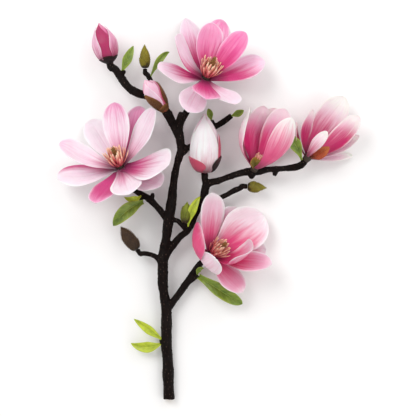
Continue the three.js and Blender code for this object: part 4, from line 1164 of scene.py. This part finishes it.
limbs = {
    "mainStem": {"carries": topBloom, "points": [
        (-46.2, -229.5, 6, 6.7), (-46.6, -214, 6, 6.5), (-47, -199, 6.4, 6.9), (-48.5, -175, 7.5, 6.2),
        (-49.5, -158, 8.5, 6.6), (-49.3, -122, 11.5, 6.2), (-52.5, -98, 14, 5.8), (-53.5, -75.5, 17, 6.3),
        (-52.4, -52.4, 19, 6.2), (-49, -36, 20.5, 5.6), (-47.4, -21.6, 22, 6.3), (-42.7, 5.4, 24, 6.0),
        (-40, 32.3, 25, 4.6), (-35.4, 55.4, 26, 4.2), (-31.5, 70, 26.5, 4.9), (-32.7, 84, 27, 5.2),
        (-33.5, 97, 26.5, 5.0), (-27, 112, 24.5, 4.0), (-16, 129, 19, 3.8), (-9, 141, 16, 3.7)]},
    "topStub": {"points": [(-33.5, 97, 27, 5.0), (-31.5, 108, 30, 4.8), (-29.5, 114, 31.5, 4.3)]},
    "upperLeft": {"carries": flowerBuds["left_bud"], "points": [
        (-33.5, 86, 27, 4.8), (-44.3, 107, 26, 4.6), (-57, 129, 24.5, 4.7), (-68, 134, 24.5, 4.6),
        (-81, 137, 25.5, 4.9), (-94.3, 145, 27, 4.7), (-103.5, 157.5, 27.5, 4.6), (-111, 167, 28, 4.5)]},
    "upperKnob": {"points": [(-104, 157, 27, 3.2), (-99.5, 162.5, 28, 3.0), (-98, 164.5, 28.5, 2.2)]},
    "smallBudTwig": {"carries": flowerBuds["small_bud"], "points": [
        (-41, 100, 27, 4.8), (-44, 108, 29, 5.1), (-46.5, 112.5, 31, 5.2)]},
    "budTwig": {"carries": leafBuds["upper_leaf_bud"], "points": [
        (-66, 133, 24, 3.2), (-65.5, 146, 24, 2.9), (-69.3, 156.5, 25.5, 3.1), (-72, 161, 26, 2.7)]},
    "leftBloomTwig": {"carries": leftBloom, "points": [
        (-47, -14, 22, 4.2), (-58, 0, 19.5, 3.9), (-69.3, 11.5, 16.5, 4.2), (-82, 19, 11.5, 3.8),
        (-94, 28, 9, 3.7)]},
    "leftSpur": {"points": [(-68, 9, 17, 3.2), (-65.5, 15.5, 18.5, 2.8), (-65.5, 19, 19, 2.0)]},
    "leftLeafSpur": {"points": [(-78, 17, 13, 2.6), (-79.5, 10, 16, 2.4), (-78, 7, 17.5, 1.9)]},
    "brownBudTwig": {"carries": leafBuds["brown_leaf_bud"], "points": [
        (-54, -69, 18, 3.6), (-61, -58, 17, 3.0), (-69.3, -54.3, 16.5, 2.9), (-78, -53.5, 16.5, 2.8)]},
    "rightBranch": {"carries": tipBloom, "points": [
        (-51.5, -60, 19, 4.6), (-42, -44.5, 20, 4.4), (-33, -34, 21.5, 4.2), (-23.5, -25.4, 22.5, 4.2),
        (-13, -5, 22.5, 3.8), (-4.5, 13, 22, 4.6), (-0.5, 29, 22.5, 4.8), (14, 34, 23, 3.9),
        (29, 39, 22.5, 3.6), (43, 43.5, 22.5, 4.3), (58, 44.5, 22.5, 4.5), (73, 47, 22.5, 3.8),
        (90, 48, 23, 3.4), (106, 49.7, 22.5, 4.2)]},
    "eggBudTwig": {"carries": flowerBuds["egg_bud"], "points": [(-1.5, 24, 22.5, 4.0), (-2.6, 33, 23, 3.9)]},
    "cupBloomTwig": {"carries": cupBloom, "points": [(52.3, 40.4, 22.5, 3.5), (54, 42, 23, 4.0)]},
    "lowerSpur": {"points": [(83, 48, 22.5, 3.2), (80.5, 42.5, 22, 2.9), (79.5, 39.5, 21.5, 2.2)]},
    "middleBudTwig": {"carries": leafBuds["middle_leaf_bud"], "points": [
        (-46, -14, 22.5, 3.2), (-36, -14, 23.5, 2.8), (-30, -19.5, 25, 2.8), (-27.5, -23, 26, 2.7)]},
    "rightBudTwig": {"carries": leafBuds["right_leaf_bud"], "points": [
        (-6, 11, 21, 3.2), (8, 11, 17, 3.0), (21, 15.5, 16, 3.1), (32, 22, 17, 3.4), (40, 25.5, 18, 3.1)]},
    "stemSpur": {"points": [(-32, 66, 26.5, 4.2), (-27, 69.5, 25.5, 4.5), (-23.5, 74.5, 23.5, 3.4)]},
    "sideTwig": {"points": [(-24, 72, 24, 3.6), (-14, 78, 13, 3.9), (-3, 87, 9.5, 4.0), (6, 98, 10.5, 4.3),
                            (4.5, 107, 12, 3.2)]},
    "sideTwigRight": {"points": [(5, 96, 10.5, 3.5), (17, 103, 12.5, 3.6), (29, 111.5, 16.5, 3.0)]},
    "lowBloomTwig": {"carries": lowBloom, "points": [
        (-48, -121, 12, 4.4), (-36, -105, 11, 4.2), (-24, -88, 10, 4.3), (-15, -74, 10, 4.0),
        (-9, -67, 12, 3.8)]},
    "lowLeafTwig": {"points": [(-29, -94, 10.5, 3.4), (-19, -85.5, 12, 3.2), (-11, -80, 14, 2.4)]},
    "youngLeafSpur": {"points": [(-46, -157, 8.5, 4.2), (-52.5, -159, 9, 3.9), (-57.5, -160, 9.5, 2.6)]},
}
# how the limbs end and are fused, the relief of the bark, the specks on it, and its colours
bark = {"stalkEnd": 6.3, "budGap": 0.35, "step": 1.5, "sides": 18, "voxel": 0.78, "cutAt": -229.65,
        "cutDepth": 0.65, "thinBelow": 4.5, "knots": 0.75, "knotScale": 0.085, "wrinkles": 0.45,
        "wrinkleScale": (0.42, 0.42, 0.09), "rings": 0.4, "ringEvery": 17.0, "ringWidth": 0.9,
        "specks": 0.5, "speckSize": (0.36, 0.7, 0.28), "speckSpacing": 3.2,
        "dark": "050202", "brown": "150a07", "ridge": "35221a", "speck": "554232",
        "wood": "c9a878", "ring": "8f6f45", "pith": "5c4026", "underBark": "4a3020"}


def limbLine(limb):
    points = list(limb["points"])
    if "carries" in limb:
        axes = axesOf(limb["carries"])
        foot = bark["stalkEnd"] if "tepals" in limb["carries"] else bark["budGap"]
        points += [tuple(axes["o"] - axes["w"] * (foot + more)) + (points[-1][3],) for more in (7, 0)]
    return throughPoints(points, bark["step"])


def buildLimbTree():
    tree, given, out = newShaping("limbsAlongLines", {"Sides": "Int", "Bark": "Material"})
    ring = newValue(tree, "GeometryNodeCurvePrimitiveCircle", {"Resolution": given["Sides"], "Radius": 1.0})
    tube = newValue(tree, "GeometryNodeCurveToMesh", {
        "Curve": given["Geometry"], "Profile Curve": ring, "Scale": newValue(tree, "GeometryNodeInputRadius"),
        "Fill Caps": True})
    put(out["Geometry"], painted(tube, given["Bark"]))
    return tree


def barkSkin():
    # barkPlace holds millimetres round and along the limb, so wrinkles run with the grain of every twig
    material, tree, shader = newMaterial("magnoliaBark", Specular_IOR_Level=0.12)
    x, y, along = partsOf(markOf(tree, "barkPlace", "Vector"))
    wrinkle = noiseOf(vectorOf(x, y, along * 0.2), 1.1, 5.0, 0.62)
    scar = noiseOf(vectorOf(x * 0.2, y * 0.2, along), 0.75, 3.0, 0.55)
    patch = noiseOf(placeOf(tree), 70.0, 4.0, 0.6)
    grit = noiseOf(placeOf(tree), 1400.0, 2.0, 0.6)
    dark, brown, ridge = (hexColor(bark[key]) for key in ("dark", "brown", "ridge"))
    # painted highlight, partly the bark's own colour: raised wrinkles in some patches take the lighter ridge
    # colour
    ridgeHighlight = fade(wrinkle, 0.55, 0.78) * fade(patch, 0.42, 0.68)
    crack = fade(scar, 0.60, 0.74)
    color = mixColor(fade(wrinkle, 0.35, 0.62), dark, brown)
    color = mixColor(ridgeHighlight * 0.8, color, ridge)
    color = mixColor(crack * 0.6, color, dark)
    height = grit * 0.25 + wrinkle - crack * 0.5
    addCoat(shader, color, height, (0.8, 0.6), fade(patch, 0.3, 0.7, 0.55, 0.85))
    return material


def cutWoodSkin():
    # rings round the heart of the stem, with the pith in the middle and a dark line under the bark
    material, tree, shader = newMaterial("cutWood", roughness=0.75)
    place, heart = partsOf(placeOf(tree)), limbs["mainStem"]["points"][0]
    x, z = place[0] - heart[0] * mm, place[2] - heart[2] * mm
    grain = noiseOf(placeOf(tree), 900.0, 3.0)
    far = (grain - 0.5) * (0.6 * mm) + calc("SQRT", x * x + z * z)
    rings = calc("SINE", far * 7000.0)
    wood, ring, pith, underBark = (hexColor(bark[key]) for key in ("wood", "ring", "pith", "underBark"))
    color = mixColor(fade(rings, -0.6, 1.0, 0.0, 0.45), wood, ring)
    color = mixColor(fadeOut(far, 0.6 * mm, 1.1 * mm), color, pith)
    color = mixColor(fade(far, 5.2 * mm, 5.8 * mm), color, underBark)
    addCoat(shader, color, grain + rings * 0.3, (0.5, 0.2))
    return material


def buildSpecks():
    tree, given, out = newShaping("barkSpecks", {
        "Spacing": "Float", "Share": "Float", "Size": "Vector", "Seed": "Int", "Speck": "Material"})
    spread = addNode(tree, "GeometryNodeDistributePointsOnFaces", {
        "Mesh": given["Geometry"], "Distance Min": given["Spacing"], "Density Max": 2.0e5,
        "Density Factor": given["Share"], "Seed": given["Seed"]}, distribute_method="POISSON")
    points, normal = (nodeValue(spread.outputs[key]) for key in ("Points", "Normal"))
    wart = newValue(tree, "GeometryNodeMeshUVSphere", {"Segments": 8, "Rings": 4, "Radius": 1.0}, "Mesh")
    size = scaledBy(given["Size"], randomOf(tree, 0.6, 1.25, given["Seed"]))
    specks = painted(copiesOn(points, wart, alignedTo(normal), size), given["Speck"])
    put(out["Geometry"], joined(specks, given["Geometry"]))
    return tree


def fusedLimbs(lines):
    # a tube along every limb's line, then all of them fused and their forks rounded
    curve = bpy.data.curves.new("limbLines", "CURVE")
    curve.dimensions = "3D"
    for line, run in lines:
        spline = curve.splines.new("POLY")
        spline.points.add(len(line) - 1)
        for point, (x, y, z, radius) in zip(spline.points, line):
            point.co = (x * mm, y * mm, z * mm, 1)
            point.radius = radius * mm
    tubes = runTree(curve, buildLimbTree(), {"Sides": bark["sides"], "Bark": barkSkin()})
    holder = bpy.data.objects.new("fusedLimbs", tubes)
    bpy.context.scene.collection.objects.link(holder)
    fuse = holder.modifiers.new("fuse", "REMESH")
    fuse.mode, fuse.voxel_size, fuse.use_smooth_shade = "VOXEL", bark["voxel"] * mm, True
    ease = holder.modifiers.new("ease", "SMOOTH")
    ease.factor, ease.iterations = 0.5, 3
    graph = bpy.context.evaluated_depsgraph_get()
    mesh = bpy.data.meshes.new_from_object(holder.evaluated_get(graph), depsgraph=graph)
    bpy.data.objects.remove(holder)
    return mesh


def limbSamples(lines):
    # every point of every line, with its radius, axes and place along the limb, and a tree to find it in
    offSide = (0.31, 0.2, 0.93)  # no limb runs this way
    centres = KDTree(sum(len(line) for line, run in lines))
    samples = []
    for line, run in lines:
        tangent = unit(np.gradient(line[:, :3], axis=0))
        across = unit(np.cross(tangent, offSide))
        rise = np.cross(tangent, across)
        for k in range(len(line)):
            centres.insert(line[k, :3], len(samples))
            samples.append((line[k, :3], line[k, 3], tangent[k], across[k], rise[k], run[k]))
    centres.balance()
    return centres, samples


def barkRelief(place, barkAt, run, radius):
    # how far the bark stands out: knots, wrinkles and rings, all lower on thin twigs
    x, along = barkAt[0], barkAt[2]
    knots = noise.noise(Vector(place * bark["knotScale"]))
    wrinkles = noise.noise(Vector(barkAt * bark["wrinkleScale"]))
    drift = 1.2 * math.sin(x * 0.7) + 4.0 * noise.noise(Vector((run * 0.01, radius, 0)))
    ringAt = (along + drift) / bark["ringEvery"]
    ring = math.exp(-((ringAt - round(ringAt)) * bark["ringEvery"] / bark["ringWidth"]) ** 2)
    thin = min(1.0, radius / bark["thinBelow"])
    return thin * (bark["knots"] * knots + bark["wrinkles"] * wrinkles + bark["rings"] * ring)


def vertexVectors(mesh, what):
    values = np.empty(len(mesh.vertices) * 3)
    mesh.vertices.foreach_get(what, values)
    return values.reshape(-1, 3)


def growBark(mesh, lines):
    centres, samples = limbSamples(lines)
    places, normals = vertexVectors(mesh, "co") / mm, vertexVectors(mesh, "normal")
    barkPlace = np.empty_like(places)
    push = np.empty((len(places), 1))
    for i, place in enumerate(places):
        # the point belongs to the limb whose skin is nearest
        nearest = min(centres.find_n(place, 5), key=lambda hit: hit[2] - samples[hit[1]][1])
        centre, radius, tangent, across, rise, run = samples[nearest[1]]
        off = place - centre
        barkPlace[i] = off @ across, off @ rise, run + off @ tangent
        push[i] = barkRelief(place, barkPlace[i], run, radius)
    places += normals * push
    places[:, 1] = np.maximum(places[:, 1], bark["cutAt"])
    places[:, 2] = np.maximum(places[:, 2], 0.0)
    mesh.vertices.foreach_set("co", (places * mm).ravel())
    mesh.attributes.new("barkPlace", "FLOAT_VECTOR", "POINT").data.foreach_set("vector", barkPlace.ravel())
    mesh.update()


def woodMesh():
    lines = [limbLine(limb) for limb in limbs.values()]
    mesh = fusedLimbs(lines)
    growBark(mesh, lines)
    mesh.materials.append(cutWoodSkin())
    cutEnd = (bark["cutAt"] + bark["cutDepth"]) * mm
    for polygon in mesh.polygons:
        if polygon.normal.y < -0.7 and polygon.center.y < cutEnd:
            polygon.material_index = len(mesh.materials) - 1
    speckSkin = spottedSkin("barkSpeck", hexColors((bark["ridge"], bark["speck"])), 800.0, relief=(0.5, 0.2),
                            roughness=0.8)
    wood = runTree(mesh, buildSpecks(), {
        "Spacing": bark["speckSpacing"] * mm, "Share": bark["specks"], "Seed": 5, "Speck": speckSkin,
        "Size": tuple(part * mm for part in bark["speckSize"])})
    for vertex in wood.vertices:
        vertex.co.z = max(vertex.co.z, 0.0)
    return wood


addPiece(woodMesh(), "wood")
print("wood made")


# floor and light; each light has its place in metres, power and size

studio = {"floor": ("f1f0ef", "f6f5f4"), "reach": 4.0, "drop": 0.05, "sky": 0.72,
          "lights": {"keyLight": ((-0.9, 0.9, 1.5), 16.0, 1.0), "fillLight": ((1.2, -0.6, 1.2), 6.5, 1.4),
                     "sideLight": ((0.9, 1.0, 1.1), 5.5, 1.0)}}

far = studio["reach"]
floorMesh = bpy.data.meshes.new("floor")
floorMesh.from_pydata([(-far, -far, 0), (far, -far, 0), (far, far, 0), (-far, far, 0)], [], [(0, 1, 2, 3)])
floorMesh.materials.append(spottedSkin("paleFloor", hexColors(studio["floor"]), 6.0, 4.0, roughness=0.7))
floor = bpy.data.objects.new("floor", floorMesh)
floor.location.z = -studio["drop"] * mm
bpy.context.scene.collection.objects.link(floor)

for name, (place, power, size) in studio["lights"].items():
    data = bpy.data.lights.new(name, "AREA")
    data.energy, data.size = power, size
    lamp = bpy.data.objects.new(name, data)
    lamp.location = place
    lamp.rotation_euler = (-Vector(place)).to_track_quat("-Z", "Y").to_euler()
    bpy.context.scene.collection.objects.link(lamp)
sky = bpy.data.worlds.new("studioSky")
sky.use_nodes = True
sky.node_tree.nodes["Background"].inputs["Color"].default_value = (1, 1, 1, 1)
sky.node_tree.nodes["Background"].inputs["Strength"].default_value = studio["sky"]
bpy.context.scene.world = sky
print("floor and light made")
